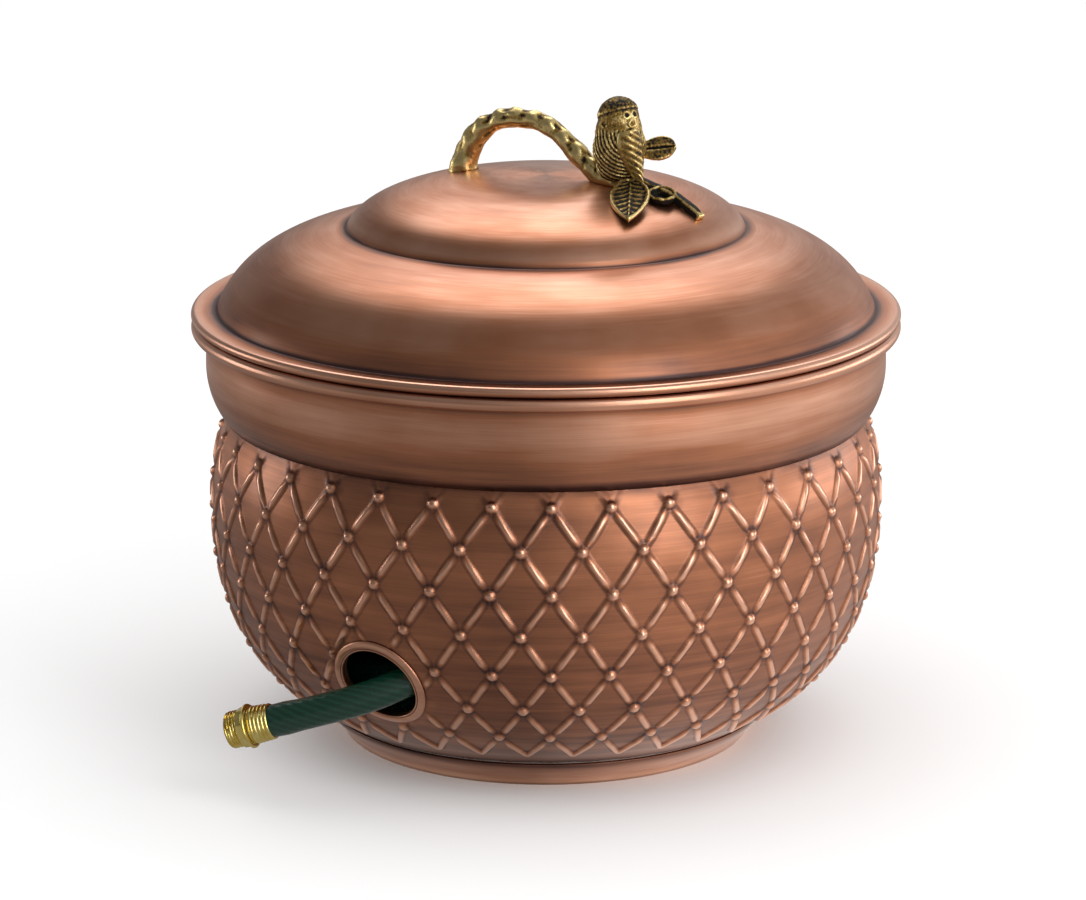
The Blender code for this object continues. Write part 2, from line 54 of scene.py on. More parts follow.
# %% Camera
AIM = Vector((0.0, 0.0, 0.2108))
CAMERA_AROUND, CAMERA_UP, CAMERA_FAR = radians(30.7), radians(14.83), 3.406
away = Vector((sin(CAMERA_AROUND) * cos(CAMERA_UP), -cos(CAMERA_AROUND) * cos(CAMERA_UP),
               sin(CAMERA_UP)))
lens = bpy.data.cameras.new("camera")
lens.lens = 151.4
lens.sensor_width = 36.0
lens.shift_x = -3.0 / 1086.0
camera = bpy.data.objects.new("camera", lens)
camera.location = AIM + away * CAMERA_FAR
camera.rotation_euler = (-away).to_track_quat("-Z", "Y").to_euler()
bpy.context.collection.objects.link(camera)
bpy.context.scene.camera = camera
print("camera at", [round(v, 3) for v in camera.location])

# %% [markdown]
# ## Small tools
# One function turns a hex colour into the linear values that shaders use, one adds a node, and one
# finishes a piece: it makes the object, gives it its material and says which CAD body it moves with.

# %% Small tools
def from_hex(code):
    """Linear RGBA from an sRGB hex colour."""
    srgb = [int(code[i:i + 2], 16) / 255.0 for i in (1, 3, 5)]
    return tuple(c / 12.92 if c <= 0.04045 else ((c + 0.055) / 1.055) ** 2.4 for c in srgb) + (1.0,)


def add(tree, kind, inputs=None, **settings):
    """Add a node. settings are its properties; inputs are values or links, by socket name or number."""
    node = tree.nodes.new(kind)
    for name, value in settings.items():
        setattr(node, name, value)
    for socket, value in (inputs or {}).items():
        if isinstance(value, bpy.types.NodeSocket):
            tree.links.new(value, node.inputs[socket])
        else:
            node.inputs[socket].default_value = value
    return node


def new_material(name, **settings):
    """A node material. settings are numbers on its shader's own sockets, such as Coat_Weight."""
    material = bpy.data.materials.new(name)
    material.use_nodes = True
    shader = material.node_tree.nodes["Principled BSDF"]
    for socket, value in settings.items():
        shader.inputs[socket.replace("_", " ")].default_value = value
    return material, material.node_tree, shader


def set_stops(ramp_node, *stops):
    """Give a colour ramp its stops from first to last, as (position, hex colour)."""
    elements = ramp_node.color_ramp.elements
    for element, (position, code) in ((elements[0], stops[0]), (elements[1], stops[-1])):
        element.position, element.color = position, from_hex(code)
    for position, code in stops[1:-1]:
        elements.new(position).color = from_hex(code)


def finish_piece(name, mesh, body, material, replaces=()):
    """A finished piece at the origin, riding on its body and standing for its CAD nodes."""
    mesh.name = name
    piece = bpy.data.objects.new(name, mesh)
    bpy.context.collection.objects.link(piece)
    mesh.materials.clear()
    mesh.materials.append(material)
    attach(piece, body)
    if replaces:
        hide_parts(*replaces)
    triangles = sum(len(p.vertices) - 2 for p in mesh.polygons)
    print(name, triangles, "triangles")
    return piece


def mesh_of(name, points, faces):
    """A smooth-shaded mesh from its points and faces."""
    mesh = bpy.data.meshes.new(name)
    mesh.from_pydata([tuple(p) for p in points], [], faces)
    mesh.polygons.foreach_set("use_smooth", [True] * len(mesh.polygons))
    return mesh


def faces_outwards(mesh):
    """Make a closed mesh's faces all point outwards."""
    work = bmesh.new()
    work.from_mesh(mesh)
    bmesh.ops.recalc_face_normals(work, faces=work.faces)
    work.to_mesh(mesh)
    work.free()


def write_values(mesh, name, values):
    """Write one number for each point to an attribute that a material reads."""
    mesh.attributes.new(name, "FLOAT", "POINT").data.foreach_set("value", values)


def tyre_faces(rings, sides):
    """Faces between rings of points that close both ways, as a tyre does."""
    return [(i * sides + j, i * sides + (j + 1) % sides, (i + 1) % rings * sides + (j + 1) % sides,
             (i + 1) % rings * sides + j) for i in range(rings) for j in range(sides)]


# %% [markdown]
# ## Floor and light
# A pale floor, a tall soft box at the front right and a low one on either side. Metal looks like metal
# only when it has bright and dark things to mirror, so rays that a gloss sends out find a grey room,
# lighter to the right and with a big soft box above the back, while everything else finds white.

# %% Floor and light
def soft_box(name, place, size, power, target=AIM):
    box = bpy.data.lights.new(name, "AREA")
    box.shape = "RECTANGLE"
    box.size, box.size_y = size
    box.energy = power
    lamp = bpy.data.objects.new(name, box)
    lamp.location = place
    lamp.rotation_euler = (Vector(place) - target).to_track_quat("Z", "Y").to_euler()
    bpy.context.collection.objects.link(lamp)
    return lamp


def around_pot(degrees_round, far, high):
    """A place round the pot: 0 degrees is in front of the outlet, 90 is at +X."""
    angle = radians(degrees_round)
    return (far * sin(angle), -far * cos(angle), high)


def build_stage():
    floor_paint, tree, shader = new_material("pale_floor", Roughness=0.9, Specular_IOR_Level=0.1,
                                             Base_Color=from_hex("#F6F6F6"))
    # To glossy rays the floor is an emission, not a lit surface. This is a painted reflection of the floor:
    # brighter on the +X side, and never darkened by the pot's shadow.
    spot = add(tree, "ShaderNodeNewGeometry").outputs["Position"]
    outwards = add(tree, "ShaderNodeVectorMath", {0: spot}, operation="NORMALIZE")
    bright_side = add(tree, "ShaderNodeVectorMath", {0: outwards.outputs[0], 1: around_pot(100.0, 1.0, 0.0)},
                      operation="DOT_PRODUCT")
    glow = add(tree, "ShaderNodeMapRange", {"Value": bright_side.outputs["Value"], "From Min": 0.30,
                                            "From Max": 0.85, "To Min": 0.33, "To Max": 0.90})
    dim = add(tree, "ShaderNodeEmission", {"Color": from_hex("#F6F2EF"), "Strength": glow.outputs["Result"]})
    seen_by = add(tree, "ShaderNodeLightPath")
    both = add(tree, "ShaderNodeMixShader", {0: seen_by.outputs["Is Glossy Ray"], 1: shader.outputs[0],
                                             2: dim.outputs[0]})
    tree.links.new(both.outputs[0], tree.nodes["Material Output"].inputs["Surface"])
    half = 14.0
    floor_mesh = mesh_of("floor", [(-half, -half, 0), (half, -half, 0), (half, half, 0), (-half, half, 0)],
                         [(0, 1, 2, 3)])
    floor_mesh.materials.append(floor_paint)
    floor_piece = bpy.data.objects.new("floor", floor_mesh)
    floor_piece.location.z = -0.0005
    bpy.context.collection.objects.link(floor_piece)
    world = bpy.data.worlds.new("studio")
    bpy.context.scene.world = world
    world.use_nodes = True
    air = world.node_tree
    seen_by = add(air, "ShaderNodeLightPath")
    towards = add(air, "ShaderNodeTexCoord").outputs["Generated"]
    rightness = add(air, "ShaderNodeVectorMath", {0: towards, 1: around_pot(121.0, 1.0, 0.0)},
                    operation="DOT_PRODUCT")
    behind = add(air, "ShaderNodeVectorMath", {0: towards, 1: around_pot(211.0, 1.0, 0.0)},
                 operation="DOT_PRODUCT")
    fill = add(air, "ShaderNodeMapRange", {"Value": rightness.outputs["Value"], "From Min": -0.3,
                                           "From Max": 0.8, "To Min": 0.12, "To Max": 0.55})
    wall = add(air, "ShaderNodeMapRange", {"Value": behind.outputs["Value"], "From Min": 0.55,
                                           "From Max": 0.98, "To Min": 0.0, "To Max": 0.12})
    above = add(air, "ShaderNodeVectorMath", {0: towards, 1: around_pot(211.0, 0.62, 0.78)},
                operation="DOT_PRODUCT")
    ceiling = add(air, "ShaderNodeMapRange", {"Value": above.outputs["Value"], "From Min": 0.89,
                                              "From Max": 0.965, "To Min": 0.0, "To Max": 2.0})
    room = add(air, "ShaderNodeMath", {0: fill.outputs["Result"], 1: wall.outputs["Result"]})
    room = add(air, "ShaderNodeMath", {0: room.outputs[0], 1: ceiling.outputs["Result"]})
    mixed = add(air, "ShaderNodeMix", {0: seen_by.outputs["Is Glossy Ray"], 6: from_hex("#FFFFFF"),
                                       7: room.outputs[0]}, data_type="RGBA")
    background = air.nodes["Background"]
    air.links.new(mixed.outputs[2], background.inputs["Color"])
    background.inputs["Strength"].default_value = 1.1
    bpy.context.scene.view_settings.view_transform = "Standard"


build_stage()
soft_box("right_front_box", around_pot(69.0, 2.5, 1.1), (1.1, 2.6), 28.0)
soft_box("right_side_box", around_pot(138.0, 2.2, 0.40), (1.6, 0.7), 8.0)
soft_box("left_side_box", around_pot(-76.0, 2.2, 0.40), (0.7, 0.9), 5.0)

# %% [markdown]
# ## The hose's route
# A garden hose is 15 m long and as thick as two fingers. It is one flexible tube: from the swivel nut
# that lies on top of the coil it climbs down the coil's eye, goes round and round from the floor up,
# comes down beside the upper layers and leaves through the outlet. Its whole length is in this route,
# because a coil has its length in its turns. All turns run clockwise, seen from above.

# %% Route of the hose
HOSE_R = 0.0114
HOSE_PITCH = 0.0234
COIL_FLOOR = 0.0206
COIL_INNER_R = 0.1220
COIL_ROWS = (2, 4, 4, 2, 2)
EYE_R = 0.0985
HOSE_EXIT = (
    (0.1085, -0.1312, 0.1038),
    (0.0740, -0.1640, 0.1048),
    (0.0400, -0.1990, 0.1046),
    (0.0080, -0.2330, 0.0888),
    (-0.0240, -0.2575, 0.0776),
    (-0.0500, -0.2665, 0.0690),
    (-0.0778, -0.2738, 0.0601),
)
TOP_TURN_R, TOP_TURN_START, TOP_TURN_Z = 0.1706, 200.0, (0.1258, 0.1038)
TAIL_R, TAIL_START, TAIL_END, TAIL_Z = (0.0985, 0.1220), -80.0, 85.0, (0.1498, 0.1556)
SHIFT = 120.0    # degrees in which a turn moves over to the next one


def smooth_route(points, spacing):
    """Points at an even spacing on one smooth curve through points."""
    route = [Vector(p) for p in points]
    dense = []
    for i in range(len(route) - 1):
        before = route[max(i - 1, 0)]
        after = route[min(i + 2, len(route) - 1)]
        reach = (route[i + 1] - route[i]).length / 3.0
        leave = (route[i + 1] - before).normalized() * reach
        arrive = (after - route[i]).normalized() * reach
        dense += interpolate_bezier(route[i], route[i] + leave, route[i + 1] - arrive, route[i + 1], 17)[:-1]
    dense.append(route[-1])
    total = sum((b - a).length for a, b in zip(dense, dense[1:]))
    count = max(round(total / spacing), 2)
    even = [dense[0]]
    walked = 0.0
    for a, b in zip(dense, dense[1:]):
        step = (b - a).length
        while len(even) < count and walked + step >= total * len(even) / count:
            even.append(a.lerp(b, (total * len(even) / count - walked) / step))
        walked += step
    even.append(dense[-1])
    return even


def circle_run(radii, start, end, heights, count):
    """Points round the pot's axis, between two angles in degrees, two radii and two heights."""
    run = []
    for i in range(count):
        share = i / (count - 1)
        angle = radians(start + (end - start) * share)
        r = radii[0] + (radii[1] - radii[0]) * share
        run.append((r * cos(angle), r * sin(angle), heights[0] + (heights[1] - heights[0]) * share))
    return run


def ease(share):
    share = min(max(share, 0.0), 1.0)
    return share * share * (3.0 - 2.0 * share)


def coil_run():
    """The eye's helix and the fourteen turns, from the top of the eye to the top turn's start."""
    row_z = [COIL_FLOOR + (i + 0.5) * HOSE_PITCH for i in range(len(COIL_ROWS))]
    run = []
    helix_end = TOP_TURN_START + SHIFT - 360.0
    for step in range(1, 22):
        share = step / 21
        angle = radians(280.0 + (helix_end - 280.0) * share)
        z = TAIL_Z[0] + (row_z[0] - TAIL_Z[0]) * ease(share)
        run.append((EYE_R * cos(angle), EYE_R * sin(angle), z))
    columns = [(EYE_R, row_z[0])]
    for i, turns in enumerate(COIL_ROWS):
        order = range(turns) if i % 2 == 0 else range(turns - 1, -1, -1)
        columns += [(COIL_INNER_R + j * HOSE_PITCH, row_z[i]) for j in order]
    columns.append((TOP_TURN_R, TOP_TURN_Z[0]))
    angle = helix_end
    for (r, z), (next_r, next_z) in zip(columns, columns[1:]):
        for step in range(1, 9):      # the hose climbs first, then moves over
            share = step / 8
            here = radians(angle - SHIFT * share)
            reach, level = r + (next_r - r) * ease(share), z + (next_z - z) * ease(1.6 * share)
            run.append((reach * cos(here), reach * sin(here), level))
        angle -= SHIFT
        if (next_r, next_z) != columns[-1]:
            run += circle_run((next_r, next_r), angle, angle - 360.0 + SHIFT, (next_z, next_z), 17)[1:]
            angle -= 360.0 - SHIFT
    return run[:-1]


first_bend = degrees(atan2(HOSE_EXIT[0][1], HOSE_EXIT[0][0]))
top_turn = circle_run((TOP_TURN_R, TOP_TURN_R), TOP_TURN_START, first_bend + 12.0, TOP_TURN_Z, 24)
way_out = smooth_route(top_turn + list(HOSE_EXIT), 0.030)
tail = smooth_route(circle_run(TAIL_R, TAIL_START, TAIL_END, TAIL_Z, 12), 0.030)
hose_route = tail[::-1] + [Vector(p) for p in coil_run()] + way_out
hose_line = smooth_route(hose_route, 0.012)
hose_length = sum((b - a).length for a, b in zip(hose_line, hose_line[1:]))
print("hose", round(hose_length, 3), "m,", len(hose_line), "points")

# %% [markdown]
# ## Sweeping a round tube along a route
# Blender's own curve bevel would do for an even tube. This small function also lets the thickness
# change on the way and writes a UV map in metres (round, along), which a braid or a bark can follow.

# %% Tube along a route
def sweep(route, radius_at, sides, name, capped=True):
    """Tube through route. radius_at(i, turn) gives its radius; turn runs from 0 to 1 round the tube."""
    count = len(route)
    tangents = [(route[min(i + 1, count - 1)] - route[max(i - 1, 0)]).normalized() for i in range(count)]
    side = tangents[0].orthogonal().normalized()
    frames = []
    for tangent in tangents:
        side = (side - tangent * side.dot(tangent)).normalized()
        frames.append((side, tangent.cross(side)))
    points, walked, along = [], [0.0], 0.0
    for i in range(count):
        if i:
            along += (route[i] - route[i - 1]).length
            walked.append(along)
        across, up = frames[i]
        for j in range(sides):
            turn = j / sides
            ring = across * cos(2 * pi * turn) + up * sin(2 * pi * turn)
            points.append(route[i] + ring * radius_at(i, turn))
    faces, corners = [], []
    for i in range(count - 1):
        for j in range(sides):
            k = (j + 1) % sides
            faces.append((i * sides + j, i * sides + k, (i + 1) * sides + k, (i + 1) * sides + j))
            corners += [(j, i), (j + 1, i), (j + 1, i + 1), (j, i + 1)]
    if capped:
        for i in (0, count - 1):
            points.append(route[i])
            middle = len(points) - 1
            for j in range(sides):
                k = (j + 1) % sides
                ends = (i * sides + j, i * sides + k)
                faces.append((middle, *ends[::-1]) if i == 0 else (middle, *ends))
                corners += [(j, i)] * 3
    mesh = mesh_of(name, points, faces)
    uv = mesh.uv_layers.new(name="round_and_along")
    girth = 2 * pi * radius_at(0, 0.0)
    for loop, (j, i) in zip(uv.data, corners):
        loop.uv = (girth * j / sides, walked[i])
    return mesh


# %% [markdown]
# ## Green vinyl hose
# Glossy vinyl over a polyester braid: the braid shows through as faint slanting lines, and the skin
# has a low ripple. PVC has an IOR of 1.53 and is smooth from the extruder, so its roughness is low.

# %% Hose vinyl
def vinyl_hose():
    material, tree, shader = new_material("extruded_green_vinyl", Roughness=0.22, IOR=1.53)
    uv = add(tree, "ShaderNodeUVMap", uv_map="round_and_along")
    # the braid's threads really lie 2 mm apart; they are drawn 5 mm apart so that they show
    turned = add(tree, "ShaderNodeMapping", {"Vector": uv.outputs["UV"], "Rotation": (0, 0, radians(35))})
    waves = add(tree, "ShaderNodeTexWave", {"Vector": turned.outputs["Vector"], "Scale": 70.0,
                                            "Distortion": 0.0}, wave_type="BANDS", bands_direction="X")
    colour = add(tree, "ShaderNodeValToRGB", {"Fac": waves.outputs["Fac"]})
    set_stops(colour, (0.0, "#08241A"), (1.0, "#0D2E22"))
    tree.links.new(colour.outputs["Color"], shader.inputs["Base Color"])
    bump = add(tree, "ShaderNodeBump", {"Height": waves.outputs["Fac"], "Strength": 0.35,
                                        "Distance": 0.0003})
    tree.links.new(bump.outputs["Normal"], shader.inputs["Normal"])
    return material


green_vinyl = vinyl_hose()

# %% The hose
def hose_radius(i, turn):
    """The hose's radius, a little fuller just behind the ferrule that grips each end."""
    from_end = min(i, len(hose_line) - 1 - i) * 0.012
    return HOSE_R + 0.0008 * exp(-((from_end - 0.021) / 0.008) ** 2)


hose_mesh = sweep(hose_line, hose_radius, 20, "hose")
hose = finish_piece("hose", hose_mesh, "pot", green_vinyl,
                    ("hose_coil", "hose_outlet_run", "hose_inner_run"))

# %% [markdown]
# ## Antiqued copper
# Copper sheet is spun on a lathe, darkened with a patina and brushed bright again while it turns. So
# the brush lines run round the pot, the raised places are bright and the hollows keep their brown.
# The lines are noise that is stretched round the pot and squeezed in height, on Object coordinates.

# %% Antiqued copper
def brushed_copper(name, bright, middle, dark, line_mm=0.7):
    """Copper with brush lines round Z. Attribute patina darkens it; attribute relief brightens it."""
    material, tree, shader = new_material(name, Metallic=1.0, Anisotropic=0.6, Coat_Weight=0.35,
                                          Coat_Roughness=0.22)
    place = add(tree, "ShaderNodeTexCoord").outputs["Object"]
    parts = add(tree, "ShaderNodeSeparateXYZ", {0: place})
    flat = add(tree, "ShaderNodeCombineXYZ", {"X": parts.outputs["X"], "Y": parts.outputs["Y"]})
    round_way = add(tree, "ShaderNodeVectorMath", {0: flat.outputs[0]}, operation="NORMALIZE")
    reach = add(tree, "ShaderNodeVectorMath", {0: flat.outputs[0]}, operation="LENGTH")
    height = add(tree, "ShaderNodeMath", {0: parts.outputs["Z"], 1: reach.outputs["Value"]})
    lines = 1.0 / (line_mm * 0.001)
    squeezed = add(tree, "ShaderNodeMath", {0: height.outputs[0], 1: lines}, operation="MULTIPLY")
    drawn_out = add(tree, "ShaderNodeVectorMath", {0: round_way.outputs[0], 1: (4.0, 4.0, 0.0)},
                    operation="MULTIPLY")
    ends = add(tree, "ShaderNodeSeparateXYZ", {0: drawn_out.outputs[0]})
    along = add(tree, "ShaderNodeCombineXYZ", {"X": ends.outputs["X"], "Y": ends.outputs["Y"],
                                               "Z": squeezed.outputs[0]})
    fine = add(tree, "ShaderNodeTexNoise", {"Vector": along.outputs[0], "Scale": 1.0, "Detail": 4.0})
    cloud = add(tree, "ShaderNodeTexNoise", {"Vector": place, "Scale": 14.0, "Detail": 3.0})
    patina = add(tree, "ShaderNodeAttribute", attribute_name="patina")
    relief = add(tree, "ShaderNodeAttribute", attribute_name="relief")
    wide_at = add(tree, "ShaderNodeVectorMath", {0: along.outputs[0], 1: (0.5, 0.5, 0.07)},
                  operation="MULTIPLY")
    wide = add(tree, "ShaderNodeTexNoise", {"Vector": wide_at.outputs[0], "Scale": 1.0, "Detail": 2.0})
    tone = add(tree, "ShaderNodeMath", {0: fine.outputs["Fac"], 1: 0.26, 2: 0.06},
               operation="MULTIPLY_ADD")
    tone = add(tree, "ShaderNodeMath", {0: cloud.outputs["Fac"], 1: 0.35, 2: tone.outputs[0]},
               operation="MULTIPLY_ADD")
    tone = add(tree, "ShaderNodeMath", {0: wide.outputs["Fac"], 1: 0.50, 2: tone.outputs[0]},
               operation="MULTIPLY_ADD")
    worn = add(tree, "ShaderNodeMath", {0: relief.outputs["Fac"], 1: 0.55, 2: tone.outputs[0]},
               operation="MULTIPLY_ADD")
    aged = add(tree, "ShaderNodeMath", {0: patina.outputs["Fac"], 1: -0.65, 2: worn.outputs[0]},
               operation="MULTIPLY_ADD")
    colour = add(tree, "ShaderNodeValToRGB", {"Fac": aged.outputs[0]})
    set_stops(colour, (0.05, dark), (0.55, middle), (1.0, bright))
    tree.links.new(colour.outputs["Color"], shader.inputs["Base Color"])
    rough = add(tree, "ShaderNodeMapRange", {"Value": aged.outputs[0], "To Min": 0.46, "To Max": 0.28})
    tree.links.new(rough.outputs["Result"], shader.inputs["Roughness"])
    bump = add(tree, "ShaderNodeBump", {"Height": fine.outputs["Fac"], "Strength": 0.08,
                                        "Distance": 0.0003})
    tree.links.new(bump.outputs["Normal"], shader.inputs["Normal"])
    grain = add(tree, "ShaderNodeTangent", direction_type="RADIAL", axis="Z")
    tree.links.new(grain.outputs["Tangent"], shader.inputs["Tangent"])
    return material


copper = brushed_copper("antiqued_brushed_copper", "#EFB699", "#BC7B59", "#4F3532")

# %% [markdown]
# ## Turned sheet
# Everything round on this pot is one section turned round the axis. A section is written as smooth
# curves through a few measured points, then it gets the sheet's thickness, and then it is turned.

# %% Sections and turning
SHEET = 0.0012
RIM_R, RIM_TOP, RIM_BEAD_R = 0.262, 0.3155, 0.0052
COLLAR_BULGE, COLLAR_FOOT = (0.2516, 0.2817), (0.2382, 0.2435)
BELLY_TOP, BELLY_WIDEST, BELLY_CURL = (0.2360, 0.2424), (0.2486, 0.1780), (0.1650, 0.0206)
BELLY_BOTTOM_Z, BELLY_FLAT_R, NECK_TOP, DRAIN_R = 0.0185, 0.1560, 0.2500, 0.0120
FOOT_R, FOOT_TOP, FOOT_SHEET, FOOT_EDGE = 0.1520, (0.1665, 0.0198), 0.0016, 0.0025
LID_EDGE_R, LID_FLANGE_Z = 0.0036, 0.3230
LID_GROOVE, LID_STEP, LID_TOP = (0.2437, 0.3223), (0.1472, 0.3817), 0.4205
RING_R, RING_Z = 0.2457, (0.3000, 0.3202)
AROUND = 192


def bend(start, leave, arrive, end, count):
    """Points on one smooth curve, as (radius, height)."""
    curve = interpolate_bezier(*[Vector((*p, 0.0)) for p in (start, leave, arrive, end)], count)
    return [(p.x, p.y) for p in curve]


def arc(centre, radius, start, end, count):
    angles = [radians(start + (end - start) * i / (count - 1)) for i in range(count)]
    return [(centre[0] + radius * cos(a), centre[1] + radius * sin(a)) for a in angles]


def joined(*lines):
    whole = list(lines[0])
    for line in lines[1:]:
        whole += [p for p in line if (Vector(p) - Vector(whole[-1])).length > 1e-6]
    return whole


def other_face(line, thickness):
    """The sheet's other face, on the inner side of a line that runs downwards."""
    shifted = []
    for i, point in enumerate(line):
        run = (Vector(line[min(i + 1, len(line) - 1)]) - Vector(line[max(i - 1, 0)])).normalized()
        shifted.append((max(point[0] + run.y * thickness, 0.0), point[1] - run.x * thickness))
    return shifted


def sheet_section(line, thickness):
    return line + other_face(line, thickness)[::-1]


def hollow_stain(stains, r, z):
    """How much patina a point keeps: stains are (radius, height, reach, strength)."""
    kept = [s * exp(-((r - sr) ** 2 + (z - sz) ** 2) / reach ** 2) for sr, sz, reach, s in stains]
    return max(kept + [0.0])


def turn_section(name, section, around=AROUND, stains=(), shines=()):
    """Turn a closed section round Z. Points on the axis become one pole."""
    points, rings = [], []
    for r, z in section:
        if r < 1e-6:
            rings.append([len(points)] * around)
            points.append((0.0, 0.0, z))
        else:
            rings.append(list(range(len(points), len(points) + around)))
            turns = [2 * pi * j / around for j in range(around)]
            points += [(r * sin(turn), -r * cos(turn), z) for turn in turns]
    faces = []
    for i, ring in enumerate(rings):
        after = rings[(i + 1) % len(rings)]
        for j in range(around):
            k = (j + 1) % around
            corners = list(dict.fromkeys((ring[j], ring[k], after[k], after[j])))
            if len(corners) > 2:
                faces.append(corners)
    mesh = mesh_of(name, points, faces)
    faces_outwards(mesh)
    places = [(sqrt(v.co.x ** 2 + v.co.y ** 2), v.co.z) for v in mesh.vertices]
    write_values(mesh, "patina", [hollow_stain(stains, r, z) for r, z in places])
    write_values(mesh, "relief", [hollow_stain(shines, r, z) for r, z in places])
    return mesh


# %% [markdown]
# ## Collar and foot
# The collar is a smooth bulging band whose top is rolled outwards into a bead, so that the rim is
# stiff and safe to the hand. The foot is a slanting band. Both keep a dark line where they meet the
# belly, because the brush doesn't reach in there.

# %% Collar and foot
def collar_line():
    roll = arc((RIM_R - RIM_BEAD_R, RIM_TOP - RIM_BEAD_R), RIM_BEAD_R - SHEET, -80.0, 180.0, 20)
    throat = (RIM_R - 2 * RIM_BEAD_R + SHEET, RIM_TOP - RIM_BEAD_R)
    band = bend(throat, (0.2500, 0.3040), (0.2516, 0.2960), COLLAR_BULGE, 16)
    tuck = bend(COLLAR_BULGE, (0.2516, 0.2640), (0.2440, 0.2500), COLLAR_FOOT, 20)
    return joined(roll, band, tuck)


def foot_line():
    return joined(bend(FOOT_TOP, (0.1663, 0.0160), (0.1560, 0.0090), (FOOT_R, FOOT_EDGE), 14),
                  [(FOOT_R, 0.0)])


collar_mesh = turn_section("collar", sheet_section(collar_line(), SHEET), stains=[
    (0.2535, 0.3060, 0.0045, 1.0), (0.2390, 0.2440, 0.0080, 0.9), (0.2440, 0.2500, 0.0200, 0.4)],
    shines=[(0.2600, 0.3130, 0.0050, 0.6), (0.2520, 0.2850, 0.0120, 0.35)])
finish_piece("rolled_collar", collar_mesh, "pot", copper, ["collar"])
foot_mesh = turn_section("foot_band", sheet_section(foot_line(), FOOT_SHEET), stains=[
    (0.1665, 0.0198, 0.0060, 0.7)], shines=[(0.1520, 0.0010, 0.0040, 0.5)])
finish_piece("foot_band", foot_mesh, "pot", copper, ["foot_ring"])

# %% [markdown]
# ## The lid
# One spun sheet: a shallow crown, a step, the shoulder, and a flat flange whose edge is rolled down.
# A ring inside it keeps it centred on the rim.

# %% The lid
def lid_line():
    crown = bend((0.0, LID_TOP), (0.1284, LID_TOP), (0.1438, 0.3890), LID_STEP, 40)
    shoulder = bend((0.1500, 0.3812), (0.2308, 0.3705), (0.2400, 0.3262), LID_GROOVE, 48)
    roll = arc((RIM_R - LID_EDGE_R, LID_FLANGE_Z - LID_EDGE_R), LID_EDGE_R, 90.0, -90.0, 16)
    return joined(crown, shoulder, [(0.2470, LID_FLANGE_Z - 0.0006)], roll)


lid_section = sheet_section(lid_line(), SHEET)
lid_mesh = turn_section("lid", lid_section, stains=[
    (0.1480, 0.3815, 0.0035, 1.0), (0.2440, 0.3225, 0.0040, 1.0), (0.2400, 0.3290, 0.0100, 0.4),
    (0.2600, 0.3165, 0.0025, 0.8)],
    shines=[(0.2600, 0.3215, 0.0040, 0.8), (0.1440, 0.3880, 0.0060, 0.4)])
finish_piece("lid", lid_mesh, "lid", copper, ["lid_shell"])
ring_section = [(RING_R, RING_Z[1]), (RING_R, RING_Z[0]), (RING_R - SHEET, RING_Z[0]),
                (RING_R - SHEET, RING_Z[1])]
ring_mesh = turn_section("lid_ring", ring_section)
finish_piece("lid_ring", ring_mesh, "lid", copper, ["lid_locating_ring"])

# %% [markdown]
# ## The belly's lattice
# The belly is embossed: round bars cross in diamonds, with a stud where they meet. Modelling 36 x 7
# diamonds by hand would be slow and a bump map would leave the outline flat, so Geometry Nodes press
# the pattern into real geometry. The start is a flat sheet of squares in lattice units (u counts
# diamonds round the pot, v counts rows down), cut along the diagonals so that every bar has its own
# rows of points. The tree wraps that sheet round the belly's section and lifts the bars and studs.

# %% Flat sheet in lattice units
ROUND, PITCH, FIRST_ROW, NECK = 36, 0.0312, 0.0112, 0.0076
FIRST_STUD = radians(31.6)
ACROSS_BAR = (0.0, 0.03, 0.06, 0.095, 0.135, 0.32, 0.5, 0.68, 0.865, 0.905, 0.94, 0.97)


def belly_line():
    swell = bend(BELLY_TOP, (0.2420, 0.2330), (0.2486, 0.2080), BELLY_WIDEST, 40)
    bowl = bend(BELLY_WIDEST, (0.2486, 0.0768), (0.2030, 0.0424), BELLY_CURL, 90)
    return joined([(BELLY_TOP[0], NECK_TOP)], swell, bowl)


def line_length(line):
    return sum((Vector(b) - Vector(a)).length for a, b in zip(line, line[1:]))


def lattice_sheet():
    """Squares between the diagonals a = u + v/2 and b = u - v/2, trimmed to the belly's extent."""
    top = -(NECK + FIRST_ROW) / PITCH
    bottom = (line_length(belly_line()) - NECK - FIRST_ROW) / PITCH
    half = ROUND / 2
    low, high = int(-half - bottom / 2) - 2, int(half + bottom / 2) + 2
    values = [n + offset for n in range(low, high) for offset in ACROSS_BAR]
    numbers, points, faces = {}, [], []

    def corner(i, j):
        if (i, j) not in numbers:
            a, b = values[i], values[j]
            numbers[i, j] = len(points)
            points.append(((a + b) / 2, a - b, 0.0))
        return numbers[i, j]

    for i in range(len(values) - 1):
        for j in range(len(values) - 1):
            a, b = values[i], values[j]
            u, v = (a + b) / 2, a - b
            if -half - 0.6 < u < half + 0.6 and top - 0.8 < v < bottom + 0.8:
                faces.append((corner(i, j), corner(i, j + 1), corner(i + 1, j + 1), corner(i + 1, j)))
    flat = bmesh.new()
    flat.from_mesh(mesh_of("lattice", points, faces))
    for point, outwards in (((-half, 0, 0), (-1, 0, 0)), ((half, 0, 0), (1, 0, 0)),
                            ((0, top, 0), (0, -1, 0)), ((0, bottom, 0), (0, 1, 0))):
        everything = flat.verts[:] + flat.edges[:] + flat.faces[:]
        bmesh.ops.bisect_plane(flat, geom=everything, plane_co=point, plane_no=outwards,
                               clear_outer=True, dist=0.0001)
    mesh = bpy.data.meshes.new("lattice_sheet")
    flat.to_mesh(mesh)
    flat.free()
    return mesh, bottom


flat_sheet, last_row = lattice_sheet()
print("lattice sheet", len(flat_sheet.polygons), "faces, rows to", round(last_row, 2))

